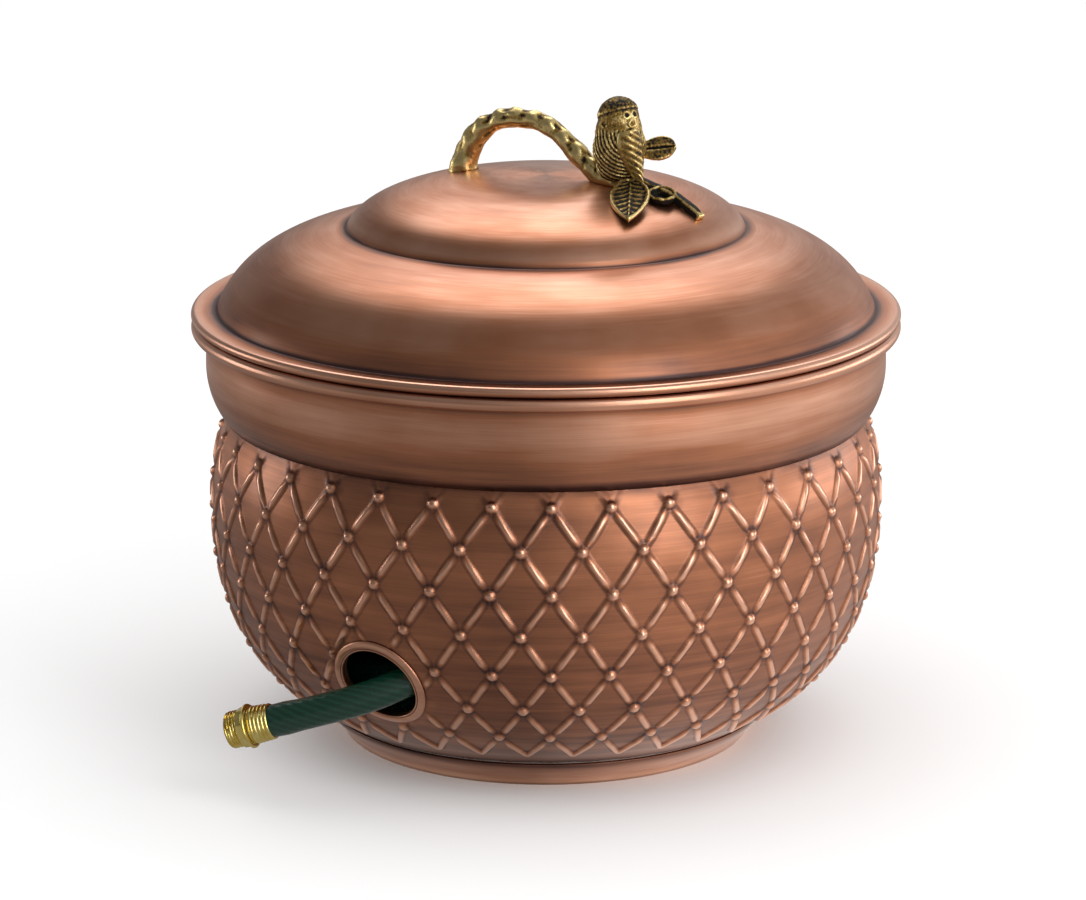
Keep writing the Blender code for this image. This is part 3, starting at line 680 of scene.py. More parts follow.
# %% The embossing tree
def embossing_tree():
    tree = bpy.data.node_groups.new("emboss_lattice", "GeometryNodeTree")
    face = tree.interface
    face.new_socket("Geometry", in_out="INPUT", socket_type="NodeSocketGeometry")
    face.new_socket("Section", in_out="INPUT", socket_type="NodeSocketObject")
    face.new_socket("Copper", in_out="INPUT", socket_type="NodeSocketMaterial")
    for label, value in (("Diamonds Round", float(ROUND)), ("Row Pitch", PITCH),
                         ("First Row", NECK + FIRST_ROW), ("First Stud Angle", FIRST_STUD),
                         ("Bar Half Width", 0.0027), ("Bar Height", 0.0021), ("Stud Radius", 0.0041),
                         ("Stud Height", 0.0029), ("Unevenness", 0.035), ("Ground Patina", 0.26),
                         ("Last Bar Row", 7.0), ("Flange Radius", 0.0385)):
        face.new_socket(label, in_out="INPUT", socket_type="NodeSocketFloat").default_value = value
    face.new_socket("Seed", in_out="INPUT", socket_type="NodeSocketInt").default_value = 7
    face.new_socket("Geometry", in_out="OUTPUT", socket_type="NodeSocketGeometry")
    given = add(tree, "NodeGroupInput").outputs

    def calc(operation, *values, clamp=False):
        node = add(tree, "ShaderNodeMath", dict(enumerate(values)), operation=operation, use_clamp=clamp)
        return node.outputs[0]

    def fade(value, start, end):
        node = add(tree, "ShaderNodeMapRange", {"Value": value, "From Min": start, "From Max": end},
                   interpolation_type="SMOOTHSTEP")
        return node.outputs["Result"]

    at = add(tree, "ShaderNodeSeparateXYZ", {0: add(tree, "GeometryNodeInputPosition").outputs[0]}).outputs
    u, v = at["X"], at["Y"]
    # where the point lies on the belly, with a hand-made unevenness that keeps the seam closed
    down = calc("MULTIPLY_ADD", v, given["Row Pitch"], given["First Row"])
    angle = calc("MULTIPLY_ADD", u, calc("DIVIDE", 2 * pi, given["Diamonds Round"]),
                 given["First Stud Angle"])
    circle = add(tree, "ShaderNodeCombineXYZ", {"X": calc("SINE", angle), "Y": calc("COSINE", angle), "Z": v})
    seeded = add(tree, "ShaderNodeVectorMath", {0: circle.outputs[0], 1: (5.0, 5.0, 1.1),
                                                2: (0, 0, 0)}, operation="MULTIPLY_ADD")
    seed_shift = calc("MULTIPLY", given["Seed"], 3.7)
    tree.links.new(add(tree, "ShaderNodeCombineXYZ", {"Z": seed_shift}).outputs[0], seeded.inputs[2])
    drift = add(tree, "ShaderNodeTexNoise", {"Vector": seeded.outputs[0], "Scale": 1.0, "Detail": 1.0})
    drift_parts = add(tree, "FunctionNodeSeparateColor", {0: drift.outputs["Color"]}).outputs
    drift_u = calc("MULTIPLY", calc("SUBTRACT", drift_parts[0], 0.5), given["Unevenness"])
    drift_v = calc("MULTIPLY", calc("SUBTRACT", drift_parts[1], 0.5), given["Unevenness"])
    inside = calc("MULTIPLY", fade(v, -0.3, 0.3), fade(v, 7.4, 6.9))
    drift_u, drift_v = calc("MULTIPLY", drift_u, inside), calc("MULTIPLY", drift_v, inside)
    down = calc("ADD", down, calc("MULTIPLY", drift_v, given["Row Pitch"]))
    angle = calc("ADD", angle,
                 calc("MULTIPLY", drift_u, calc("DIVIDE", 2 * pi, given["Diamonds Round"])))
    section = add(tree, "GeometryNodeObjectInfo", {"Object": given["Section"]})
    on_line = add(tree, "GeometryNodeSampleCurve", {"Curves": section.outputs["Geometry"], "Length": down},
                  mode="LENGTH", use_all_curves=True)
    spot = add(tree, "ShaderNodeSeparateXYZ", {0: on_line.outputs["Position"]}).outputs
    slope = add(tree, "ShaderNodeSeparateXYZ", {0: on_line.outputs["Tangent"]}).outputs
    radius, height = spot["X"], spot["Z"]
    # how far the point is from the nearest bars and the nearest stud, in metres
    a, b = calc("MULTIPLY_ADD", v, 0.5, u), calc("MULTIPLY_ADD", v, -0.5, u)
    off_a, off_b = calc("SUBTRACT", a, calc("ROUND", a)), calc("SUBTRACT", b, calc("ROUND", b))
    width = calc("DIVIDE", calc("MULTIPLY", radius, 2 * pi), given["Diamonds Round"])
    steep = calc("SQRT", calc("ADD", calc("POWER", calc("DIVIDE", 1.0, width), 2.0),
                              calc("POWER", calc("DIVIDE", 0.5, given["Row Pitch"]), 2.0)))
    from_bar = calc("DIVIDE", calc("MINIMUM", calc("ABSOLUTE", off_a), calc("ABSOLUTE", off_b)), steep)
    stud_x = calc("MULTIPLY", calc("MULTIPLY", calc("ADD", off_a, off_b), 0.5), width)
    stud_y = calc("MULTIPLY", calc("SUBTRACT", off_a, off_b), given["Row Pitch"])
    from_stud = calc("SQRT", calc("ADD", calc("POWER", stud_x, 2.0), calc("POWER", stud_y, 2.0)))
    # bars: round across, ending just short of the studs
    across = calc("DIVIDE", from_bar, given["Bar Half Width"])
    round_bar = calc("POWER", calc("SUBTRACT", 1.0, calc("POWER", across, 2.0), clamp=True), 0.7)
    short = calc("MAXIMUM", fade(from_stud, 0.0060, 0.0094), fade(v, 6.4, 6.6))
    rows = calc("MULTIPLY", fade(v, -0.02, 0.06), fade(v, calc("ADD", given["Last Bar Row"], 0.04),
                                                       calc("SUBTRACT", given["Last Bar Row"], 0.04)))
    bars = calc("MULTIPLY", calc("MULTIPLY", round_bar, short), rows)
    # studs: domes
    across_stud = calc("DIVIDE", from_stud, given["Stud Radius"])
    dome = calc("POWER", calc("SUBTRACT", 1.0, calc("POWER", across_stud, 2.0), clamp=True), 0.6)
    studs = calc("MULTIPLY", dome, calc("MULTIPLY", fade(v, -0.5, -0.4), fade(v, 6.6, 6.5)))
    outward = add(tree, "ShaderNodeCombineXYZ", {"X": calc("SINE", angle),
                                                 "Y": calc("MULTIPLY", calc("COSINE", angle), -1.0)})
    flat_place = add(tree, "ShaderNodeVectorMath", {0: outward.outputs[0], "Scale": radius},
                     operation="SCALE")
    place = add(tree, "ShaderNodeVectorMath", {
        0: flat_place.outputs[0], 1: add(tree, "ShaderNodeCombineXYZ", {"Z": height}).outputs[0]})
    # bars and studs stop where the outlet's flange lies on the sheet
    from_outlet = add(tree, "ShaderNodeVectorMath", {0: place.outputs[0], 1: tuple(OUTLET_CENTRE)},
                      operation="SUBTRACT")
    beside = add(tree, "ShaderNodeVectorMath", {0: from_outlet.outputs[0], 1: tuple(OUTLET_NORMAL)},
                 operation="CROSS_PRODUCT")
    off_axis = add(tree, "ShaderNodeVectorMath", {0: beside.outputs[0]}, operation="LENGTH").outputs["Value"]
    clear = fade(off_axis, given["Flange Radius"], calc("ADD", given["Flange Radius"], 0.004))
    clear = calc("MAXIMUM", clear, fade(add(tree, "ShaderNodeSeparateXYZ", {0: place.outputs[0]}).outputs["Y"],
                                        -0.02, 0.02))
    lift = calc("ADD", calc("MULTIPLY", bars, given["Bar Height"]),
                calc("MULTIPLY", studs, given["Stud Height"]))
    lift = calc("MULTIPLY", lift, clear)
    # the sheet's outward normal, from the section's tangent turned by a quarter
    lean = add(tree, "ShaderNodeVectorMath", {
        0: outward.outputs[0], "Scale": calc("MULTIPLY", slope["Z"], -1.0)}, operation="SCALE")
    normal = add(tree, "ShaderNodeVectorMath", {
        0: lean.outputs[0], 1: add(tree, "ShaderNodeCombineXYZ", {"Z": slope["X"]}).outputs[0]})
    lifted = add(tree, "ShaderNodeVectorMath", {0: normal.outputs[0], "Scale": lift}, operation="SCALE")
    final = add(tree, "ShaderNodeVectorMath", {0: place.outputs[0], 1: lifted.outputs[0]})
    relief = calc("MULTIPLY", calc("MAXIMUM", calc("POWER", bars, 2.0), studs), clear)
    near_bar = calc("MULTIPLY", calc("MULTIPLY", fade(from_bar, 0.0062, 0.0020), rows), 0.75)
    near_stud = calc("MULTIPLY", fade(from_stud, 0.0075, 0.0042), calc("MULTIPLY", fade(v, -0.5, -0.4), 0.7))
    near_stud = calc("MULTIPLY", near_stud, fade(v, 6.6, 6.5))
    hollow = calc("MULTIPLY", calc("MAXIMUM", near_bar, near_stud),
                  calc("SUBTRACT", 1.0, calc("MAXIMUM", bars, studs), clamp=True))
    # The ground between the bars also gets darker towards the bottom, from row 1.5 to row 6.5.
    ground = calc("ADD", given["Ground Patina"], calc("MULTIPLY", fade(v, 1.5, 6.5), 0.20))
    ground = calc("MULTIPLY", ground, calc("SUBTRACT", 1.0, calc("MAXIMUM", bars, studs), clamp=True))
    hollow = calc("MAXIMUM", hollow, calc("MULTIPLY", ground, fade(v, -0.6, 0.2)))
    rims = calc("MAXIMUM", fade(off_axis, 0.0430, 0.0370), fade(height, 0.2330, 0.2425))
    rims = calc("MAXIMUM", rims, fade(height, 0.0330, 0.0220))
    stain = calc("MAXIMUM", calc("MULTIPLY", hollow, clear), calc("MULTIPLY", rims, 0.55))
    note = add(tree, "GeometryNodeStoreNamedAttribute", {"Geometry": given["Geometry"], "Name": "relief",
                                                         "Value": relief}, data_type="FLOAT", domain="POINT")
    note = add(tree, "GeometryNodeStoreNamedAttribute", {"Geometry": note.outputs[0], "Name": "patina",
                                                         "Value": stain}, data_type="FLOAT", domain="POINT")
    moved = add(tree, "GeometryNodeSetPosition", {"Geometry": note.outputs[0], "Position": final.outputs[0]})
    real = add(tree, "GeometryNodeRealizeInstances", {"Geometry": moved.outputs[0]})
    coat = add(tree, "GeometryNodeSetMaterial", {"Geometry": real.outputs[0], "Material": given["Copper"]})
    add(tree, "NodeGroupOutput", {"Geometry": coat.outputs[0]})
    return tree


OUTLET_TILT, OUTLET_BORE_R, GROMMET_WALL = radians(24.2), 0.02975, 0.0012
OUTLET_NORMAL = Vector((0.0, -cos(OUTLET_TILT), -sin(OUTLET_TILT)))
OUTLET_CENTRE = Vector((0.0, -0.2328, 0.0910))

# %% Press, trim and thicken the belly
def baked(piece):
    """The evaluated object as a plain mesh."""
    graph = bpy.context.evaluated_depsgraph_get()
    return bpy.data.meshes.new_from_object(piece.evaluated_get(graph))


def section_curve(name, line):
    data = bpy.data.curves.new(name, "CURVE")
    data.dimensions = "3D"
    spline = data.splines.new("POLY")
    spline.points.add(len(line) - 1)
    for point, (r, z) in zip(spline.points, line):
        point.co = (r, 0.0, z, 1.0)
    curve = bpy.data.objects.new(name, data)
    bpy.context.collection.objects.link(curve)
    return curve


def pressed_belly():
    guide = section_curve("belly_section", belly_line())
    raw = bpy.data.objects.new("belly_raw", flat_sheet)
    bpy.context.collection.objects.link(raw)
    tree = embossing_tree()
    press = raw.modifiers.new("emboss", "NODES")
    press.node_group = tree
    for item in tree.interface.items_tree:
        if item.name == "Section":
            press[item.identifier] = guide
        if item.name == "Copper":
            press[item.identifier] = copper
    mesh = baked(raw)
    for extra in (raw, guide):
        bpy.data.objects.remove(extra, do_unlink=True)
    return mesh


def trimmed_belly(mesh):
    """Close the seam and the bottom, and open the hole for the outlet's grommet."""
    work = bmesh.new()
    work.from_mesh(mesh)
    bmesh.ops.remove_doubles(work, verts=work.verts, dist=0.00005)
    hole_r = OUTLET_BORE_R + GROMMET_WALL + 0.0003

    def off_axis(point):
        return (point - OUTLET_CENTRE).cross(OUTLET_NORMAL).length if point.y < 0 else 1.0
    inside = [f for f in work.faces if all(off_axis(v.co) < hole_r + 0.0012 for v in f.verts)]
    bmesh.ops.delete(work, geom=inside, context="FACES")
    edges = [e for e in work.edges if e.is_boundary]
    for vertex in {v for e in edges for v in e.verts if off_axis(v.co) < hole_r + 0.006}:
        away_from_axis = vertex.co - OUTLET_CENTRE
        away_from_axis -= OUTLET_NORMAL * away_from_axis.dot(OUTLET_NORMAL)
        vertex.co += away_from_axis.normalized() * (hole_r - away_from_axis.length)
    for r, z in ((BELLY_FLAT_R, BELLY_BOTTOM_Z), (DRAIN_R, BELLY_BOTTOM_Z)):
        rim = [e for e in work.edges if e.is_boundary and max(v.co.z for v in e.verts) < 0.0215]
        grown = bmesh.ops.extrude_edge_only(work, edges=rim)
        for vertex in [g for g in grown["geom"] if isinstance(g, bmesh.types.BMVert)]:
            flat_r = sqrt(vertex.co.x ** 2 + vertex.co.y ** 2)
            vertex.co = (vertex.co.x * r / flat_r, vertex.co.y * r / flat_r, z)
    bmesh.ops.recalc_face_normals(work, faces=work.faces)
    outermost = max(work.faces, key=lambda f: f.calc_center_median().to_2d().length)
    if outermost.normal.dot(outermost.calc_center_median()) < 0:
        bmesh.ops.reverse_faces(work, faces=work.faces)
    work.to_mesh(mesh)
    work.free()
    mesh.polygons.foreach_set("use_smooth", [True] * len(mesh.polygons))
    return mesh


def thickened(mesh, thickness):
    shell = bpy.data.objects.new("shell", mesh)
    bpy.context.collection.objects.link(shell)
    wall = shell.modifiers.new("wall", "SOLIDIFY")
    wall.thickness = thickness
    wall.offset = -1.0
    thick = baked(shell)
    bpy.data.objects.remove(shell, do_unlink=True)
    return thick


belly_mesh = thickened(trimmed_belly(pressed_belly()), SHEET)
finish_piece("pressed_belly", belly_mesh, "pot", copper, ["belly"])

# %% [markdown]
# ## The outlet's grommet
# A flanged copper grommet lines the hole, so that the sheet's edge can't cut the hose. Its flange
# lies on the round belly, so each point of its section is laid on the belly by a ray down the
# outlet's axis instead of being turned flat.

# %% Outlet grommet
def outlet_grommet():
    section = [(0.02975, -0.0048), (0.02975, 0.0006), (0.0299, 0.0014), (0.0303, 0.0019), (0.0308, 0.0018),
               (0.0311, 0.0014), (0.0314, 0.0014), (0.0318, 0.0019), (0.0326, 0.0022), (0.0345, 0.0022),
               (0.0358, 0.0020), (0.0365, 0.0016), (0.0370, 0.0010), (0.0371, 0.0003), (0.0318, 0.0003),
               (0.03095, -0.0004), (0.03095, -0.0048)]
    around = 96
    smooth_belly = turn_section("smooth_belly", sheet_section(belly_line(), SHEET))
    shape = bmesh.new()
    shape.from_mesh(smooth_belly)
    sheet = BVHTree.FromBMesh(shape)
    shape.free()
    right = Vector((1.0, 0.0, 0.0))
    up = right.cross(-OUTLET_NORMAL)
    points = []
    for reach, proud in section:
        for j in range(around):
            turn = 2 * pi * j / around
            spot = OUTLET_CENTRE + (right * cos(turn) + up * sin(turn)) * reach
            on_sheet = sheet.ray_cast(spot + OUTLET_NORMAL * 0.05, -OUTLET_NORMAL)[0]
            points.append(on_sheet + OUTLET_NORMAL * proud)
    mesh = mesh_of("outlet_grommet", points, tyre_faces(len(section), around))
    faces_outwards(mesh)
    # dark in the groove of the lip and at the flange's edge, bright on everything that stands proud
    write_values(mesh, "patina", [0.8 if 0.0310 < reach < 0.0315 or reach > 0.0370 else 0.0
                                  for reach, proud in section for _ in range(around)])
    write_values(mesh, "relief", [0.4 if proud > 0.0014 else 0.0
                                  for reach, proud in section for _ in range(around)])
    bpy.data.meshes.remove(smooth_belly)
    return mesh


finish_piece("copper_grommet", outlet_grommet(), "pot", copper, ["outlet_grommet"])

# %% [markdown]
# ## Brass hose fittings
# The couplings are turned from brass bar and polished, so their colour is clean and yellow. A ribbed
# ferrule grips each end of the hose. Outside, a flange, eight flats for a wrench and a right-handed
# hose thread; inside the pot, a fluted swivel nut. A fitting is a section turned round the hose's
# end, and a tweak moves each point in or out: that makes flats, flutes and the thread's helix.

# %% Polished brass
def polished_brass():
    material, tree, shader = new_material("turned_polished_brass", Metallic=1.0)
    along = add(tree, "ShaderNodeAttribute", attribute_name="along")
    # the tool's lines are 0.1 mm apart; drawn 0.6 mm apart so that they show
    line = add(tree, "ShaderNodeMath", {0: along.outputs["Fac"], 1: 2 * pi / 0.0006}, operation="MULTIPLY")
    line = add(tree, "ShaderNodeMath", {0: line.outputs[0]}, operation="SINE")
    place = add(tree, "ShaderNodeTexCoord")
    cloud = add(tree, "ShaderNodeTexNoise", {"Vector": place.outputs["Object"], "Scale": 160.0, "Detail": 3.0})
    colour = add(tree, "ShaderNodeValToRGB", {"Fac": cloud.outputs["Fac"]})
    set_stops(colour, (0.3, "#E9CB62"), (0.7, "#FCEB9E"))
    tree.links.new(colour.outputs["Color"], shader.inputs["Base Color"])
    rough = add(tree, "ShaderNodeMapRange", {"Value": cloud.outputs["Fac"], "To Min": 0.14, "To Max": 0.26})
    tree.links.new(rough.outputs["Result"], shader.inputs["Roughness"])
    bump = add(tree, "ShaderNodeBump", {"Height": line.outputs[0], "Strength": 0.03, "Distance": 0.0001})
    tree.links.new(bump.outputs["Normal"], shader.inputs["Normal"])
    return material


brass = polished_brass()

# %% Turning a fitting on the hose's end
def facing(place, heading):
    return Matrix.Translation(place) @ heading.to_track_quat("Z", "Y").to_matrix().to_4x4()


def fine_section(corners, step):
    """More points along a section's straight sides, for the tweak to move."""
    dense = []
    for start, end in zip(corners, corners[1:] + corners[:1]):
        pieces = max(1, round((Vector(end) - Vector(start)).length / step))
        dense += [tuple(Vector(start).lerp(Vector(end), i / pieces)) for i in range(pieces)]
    return dense


def turn_fitting(name, section, place, heading, tweak=None, sides=64):
    points = []
    for r, s in section:
        for j in range(sides):
            turn = 2 * pi * j / sides
            reach = tweak(r, s, turn) if tweak else r
            points.append(Vector((reach * cos(turn), reach * sin(turn), s)))
    stand = facing(place, heading)
    mesh = mesh_of(name, [stand @ p for p in points], tyre_faces(len(section), sides))
    faces_outwards(mesh)
    mesh.set_sharp_from_angle(angle=radians(50))
    write_values(mesh, "along", [s for r, s in section for _ in range(sides)])
    return mesh


def flats(apothem, low, high, count=8):
    """A tweak that cuts wrench flats between two heights."""
    def tweak(r, s, turn):
        if r < apothem - 0.002 or not low < s < high:
            return r
        off = (turn + pi / count) % (2 * pi / count) - pi / count
        return min(r, apothem / cos(off))
    return tweak


# %% Ferrules and couplings
FERRULE_LENGTH, FERRULE_END, GAP = 0.0160, 0.0020, 0.0003
SLEEVE = FERRULE_LENGTH - FERRULE_END - GAP    # how much of the hose is in the ferrule
STANDOFF = FERRULE_END + 2 * GAP    # from the hose's end to the coupling's foot
RIBBED_LENGTH, RIB_PITCH, RIB_HEIGHT = 0.0146, 0.00292, 0.0009
NUT_R, COUPLING_BORE_R = 0.0168, 0.0075
THREAD_PITCH, THREAD_ROOT_R, THREAD_DEPTH, THREAD_FROM, THREAD_TO = 0.00221, 0.0121, 0.0014, 0.0088, 0.0170


def ferrule_section():
    """Five rounded ribs that grow towards the coupling."""
    ribs = []
    for i in range(61):
        s = RIBBED_LENGTH * i / 60
        swell = 0.0121 + 0.0009 * s / RIBBED_LENGTH
        ribs.append((swell + RIB_HEIGHT * abs(sin(pi * s / RIB_PITCH)) ** 0.8, s))
    return ribs + [(0.0130, 0.0150), (0.0130, FERRULE_LENGTH), (COUPLING_BORE_R, FERRULE_LENGTH),
                   (COUPLING_BORE_R, 0.0140), (0.0119, 0.0140), (0.0119, 0.0)]


def male_thread(r, s, turn):
    """Eight flats behind the flange, and the helix of the hose thread near the end."""
    r = flats(0.0137, 0.0030, 0.0078)(r, s, turn)
    if r > 0.0120 and THREAD_FROM < s < THREAD_TO:
        phase = (s / THREAD_PITCH - turn / (2 * pi)) % 1.0
        r = THREAD_ROOT_R + THREAD_DEPTH * min(1.0, 1.35 * (1 - abs(2 * phase - 1)))
        r = min(r, THREAD_ROOT_R + max(0.0, 0.0169 - s) * 1.4)    # the first turn runs out
    return r


def fluted(r, s, turn):
    """Finger grips on the swivel nut."""
    if r > 0.0160 and 0.0045 < s < 0.0195:
        return r - 0.0007 * abs(cos(6 * turn)) ** 3
    return r


def hose_end(route):
    return route[-1], (route[-1] - route[-2]).normalized()


male_sections = [(0.0142, 0.0), (0.0155, 0.0004), (0.0161, 0.0012), (0.0161, 0.0020), (0.0155, 0.0027),
                 (0.0147, 0.0031), (0.0147, 0.0074), (0.0142, 0.0078), (0.0124, 0.0084), (0.0135, 0.0090),
                 (0.0135, 0.0166), (0.0122, 0.0176), (COUPLING_BORE_R, 0.0176), (COUPLING_BORE_R, 0.0)]
nut_section = [(0.0160, 0.0026), (NUT_R, 0.0034), (NUT_R, 0.0212), (0.0160, 0.0220), (0.0132, 0.0220),
               (0.0132, 0.0066), (0.0104, 0.0066), (0.0104, 0.0026)]
end, heading = hose_end(way_out)
ferrule = finish_piece("ribbed_ferrule", turn_fitting("hose_ferrule", ferrule_section(), end - heading * SLEEVE,
                       heading), "pot", brass, ["hose_ferrule"])
male = finish_piece("male_coupling", turn_fitting("hose_male_coupling", fine_section(male_sections, 0.00035),
                    end + heading * STANDOFF, heading, male_thread, 96), "pot", brass,
                    ["hose_male_coupling"])
end, heading = hose_end(tail)
inner_ferrule = finish_piece("inner_ferrule", turn_fitting("hose_inner_ferrule", ferrule_section(),
                             end - heading * SLEEVE, heading), "pot", brass,
                             ["hose_inner_ferrule"])
nut = finish_piece("swivel_nut", turn_fitting("hose_swivel_nut", fine_section(nut_section, 0.0008),
                   end + heading * STANDOFF, heading, fluted, 96), "hose_nut", brass,
                   ["hose_swivel_nut"])

# %% [markdown]
# ## Cast brass with a black patina
# The handle is a sand casting in brass. It was blackened all over and then rubbed, so every hollow
# stays black and every ridge is gold. The black therefore follows the shape: a small function
# measures how hollow each point is, against its neighbours, and writes that to an attribute.

# %% Antiqued cast brass
def cast_brass():
    material, tree, shader = new_material("blackened_cast_brass")
    place = add(tree, "ShaderNodeTexCoord").outputs["Object"]
    hollow = add(tree, "ShaderNodeAttribute", attribute_name="patina").outputs["Fac"]
    # cast grain of about 1 mm, and blotches of 5 mm where the rubbing was uneven
    grain = add(tree, "ShaderNodeTexNoise", {"Vector": place, "Scale": 900.0, "Detail": 3.0}).outputs["Fac"]
    blotch = add(tree, "ShaderNodeTexNoise", {"Vector": place, "Scale": 190.0, "Detail": 2.0}).outputs["Fac"]
    mixed = add(tree, "ShaderNodeMath", {0: grain, 1: 0.55, 2: hollow}, operation="MULTIPLY_ADD")
    mixed = add(tree, "ShaderNodeMath", {0: blotch, 1: 0.55, 2: mixed.outputs[0]}, operation="MULTIPLY_ADD")
    black = add(tree, "ShaderNodeMapRange", {"Value": mixed.outputs[0], "From Min": 0.60, "From Max": 1.06})
    colour = add(tree, "ShaderNodeValToRGB", {"Fac": black.outputs["Result"]})
    set_stops(colour, (0.0, "#F0D694"), (0.45, "#8F6F30"), (1.0, "#0E0B08"))
    tree.links.new(colour.outputs["Color"], shader.inputs["Base Color"])
    metal = add(tree, "ShaderNodeMapRange", {"Value": black.outputs["Result"], "To Min": 1.0, "To Max": 0.45})
    tree.links.new(metal.outputs["Result"], shader.inputs["Metallic"])
    rough = add(tree, "ShaderNodeMapRange", {"Value": black.outputs["Result"], "To Min": 0.28, "To Max": 0.55})
    tree.links.new(rough.outputs["Result"], shader.inputs["Roughness"])
    bump = add(tree, "ShaderNodeBump", {"Height": grain, "Strength": 0.35, "Distance": 0.0004})
    tree.links.new(bump.outputs["Normal"], shader.inputs["Normal"])
    return material


antique_brass = cast_brass()

# %% How hollow each point is
def note_hollows(mesh, gain, extra=None):
    """Write attribute patina from 0 on ridges to 1 in hollows; extra(point) adds black by place."""
    shape = bmesh.new()
    shape.from_mesh(mesh)
    shape.normal_update()
    hollow = {}
    for vertex in shape.verts:
        near = [e.other_vert(vertex) for e in vertex.link_edges]
        if not near:
            hollow[vertex.index] = 0.0
            continue
        middle = sum((n.co for n in near), Vector()) / len(near)
        size = sum((n.co - vertex.co).length for n in near) / len(near)
        hollow[vertex.index] = (middle - vertex.co).dot(vertex.normal) / max(size, 1e-6)
    for _ in range(2):
        soft = {}
        for vertex in shape.verts:
            near = [e.other_vert(vertex).index for e in vertex.link_edges]
            soft[vertex.index] = (2 * hollow[vertex.index] + sum(hollow[n] for n in near)) / (2 + len(near))
        hollow = soft
    values = [0.0] * len(shape.verts)
    for vertex in shape.verts:
        value = 0.35 + gain * hollow[vertex.index]
        if extra:
            value += extra(vertex.co)
        values[vertex.index] = min(max(value, 0.0), 1.0)
    write_values(mesh, "patina", values)
    shape.free()


# %% [markdown]
# ## The branch
# The branch is the lid's grip: a knobbly bough that arches over the crown, lies down under the bird
# and runs out into a thin black twig. It is a tube along a route whose radius is pinched by notches
# on its upper side, like pruned side shoots, and roughened by noise.

# %% The branch
BRANCH = (
    (-0.0725, 0.0, 0.4110, 0.0115), (-0.0700, 0.0, 0.4230, 0.0105), (-0.0655, 0.0, 0.4340, 0.0096),
    (-0.0570, 0.0, 0.4465, 0.0085), (-0.0440, 0.0, 0.4555, 0.0074), (-0.0260, 0.0, 0.4600, 0.0070),
    (-0.0040, 0.0, 0.4585, 0.0070), (0.0090, 0.0, 0.4525, 0.0069), (0.0205, 0.0, 0.4440, 0.0070),
    (0.0310, 0.0, 0.4350, 0.0074), (0.0430, 0.0, 0.4260, 0.0078), (0.0580, 0.0, 0.4215, 0.0080),
    (0.0740, 0.0010, 0.4205, 0.0068), (0.0880, 0.0025, 0.4180, 0.0050), (0.1000, 0.0030, 0.4150, 0.0048),
    (0.1150, 0.0025, 0.4085, 0.0045), (0.1290, 0.0005, 0.4000, 0.0040),
)


def dome_height(reach):
    line = lid_line()
    for upper, lower in zip(line, line[1:]):
        if upper[0] <= reach <= lower[0]:
            share = (reach - upper[0]) / (lower[0] - upper[0])
            return upper[1] + share * (lower[1] - upper[1])
    return LID_FLANGE_Z


def bough_mesh():
    route = smooth_route([p[:3] for p in BRANCH], 0.0011)
    marks = [Vector(p[:3]) for p in BRANCH]
    walked = [0.0]
    for a, b in zip(route, route[1:]):
        walked.append(walked[-1] + (b - a).length)
    stations = [min(range(len(route)), key=lambda k: (route[k] - m).length) for m in marks]

    def plain_radius(i):
        for first, second, p, q in zip(stations, stations[1:], BRANCH, BRANCH[1:]):
            if first <= i <= second:
                return p[3] + (q[3] - p[3]) * (i - first) / max(second - first, 1)
        return BRANCH[-1][3]

    sides = 36
    mesh = sweep(route, lambda i, turn: plain_radius(i), sides, "branch")
    for number, vertex in enumerate(mesh.vertices):
        i = number // sides
        if i >= len(route):
            continue
        spine = route[i]
        spoke = vertex.co - spine
        radius = spoke.length
        way = spoke / radius
        s = walked[i]
        bough = ease((0.190 - s) / 0.02) * ease((s - 0.012) / 0.02)
        up_front = max(0.0, way.dot(Vector((0.0, -0.62, 0.78)))) ** 1.5
        notch = abs(sin(pi * (s + 0.004 * way.x) / 0.0150)) ** 2.2
        swell = 1.0 + bough * (0.05 * sin(2 * pi * s / 0.031) - 0.30 * up_front * (notch - 0.35))
        square = ease((s - 0.190) / 0.02)
        swell += square * 0.45 * (1.0 / max(abs(way.z), abs(way.x), abs(way.y), 0.72) - 1.0)
        facet = noise.noise(Vector((s * 95.0, way.y * 1.7, way.z * 1.7)))
        swell += 0.13 * facet + 0.035 * noise.noise(vertex.co * 600.0)
        vertex.co = spine + way * radius * swell
        floor_z = dome_height(sqrt(vertex.co.x ** 2 + vertex.co.y ** 2)) + 0.0003
        if vertex.co.z < floor_z:
            vertex.co.z = floor_z

    def black_twig(p):
        return 0.50 * ease((p.x - 0.066) / 0.010) * (1.0 - ease((p.x - 0.1265) / 0.003))
    note_hollows(mesh, 7.5, black_twig)
    return mesh


def finish_casting(name, mesh, replaces=()):
    """A piece of the handle, which rides on the lid."""
    return finish_piece(name, mesh, "lid", antique_brass, replaces)


finish_casting("branch", bough_mesh(), ["handle_branch"])

# %% [markdown]
# ## Leaves
# Each leaf is a thick little plate. The front leaf has a raised rim, a midrib, and slanting side veins with
# black between them; the rear one has two raised halves with a groove down the middle. A grid in leaf units
# (along, across) is shaped by one height function and closed below.

# %% Leaves
LEAF_THICK = 0.0026


def plate_faces(rows, columns):
    """Faces of a thin plate: its upper grid, its lower grid and the border between them."""
    size = rows * columns
    faces = []
    for i in range(rows - 1):
        for j in range(columns - 1):
            a, d = i * columns + j, (i + 1) * columns + j
            faces += [(a, a + 1, d + 1, d), (a + size, d + size, d + 1 + size, a + 1 + size)]
    border = list(range(columns)) + [i * columns + columns - 1 for i in range(1, rows)]
    border += list(range(size - 2, size - columns - 1, -1)) + [i * columns for i in range(rows - 2, 0, -1)]
    return faces + [(a, a + size, b + size, b) for a, b in zip(border, border[1:] + border[:1])]


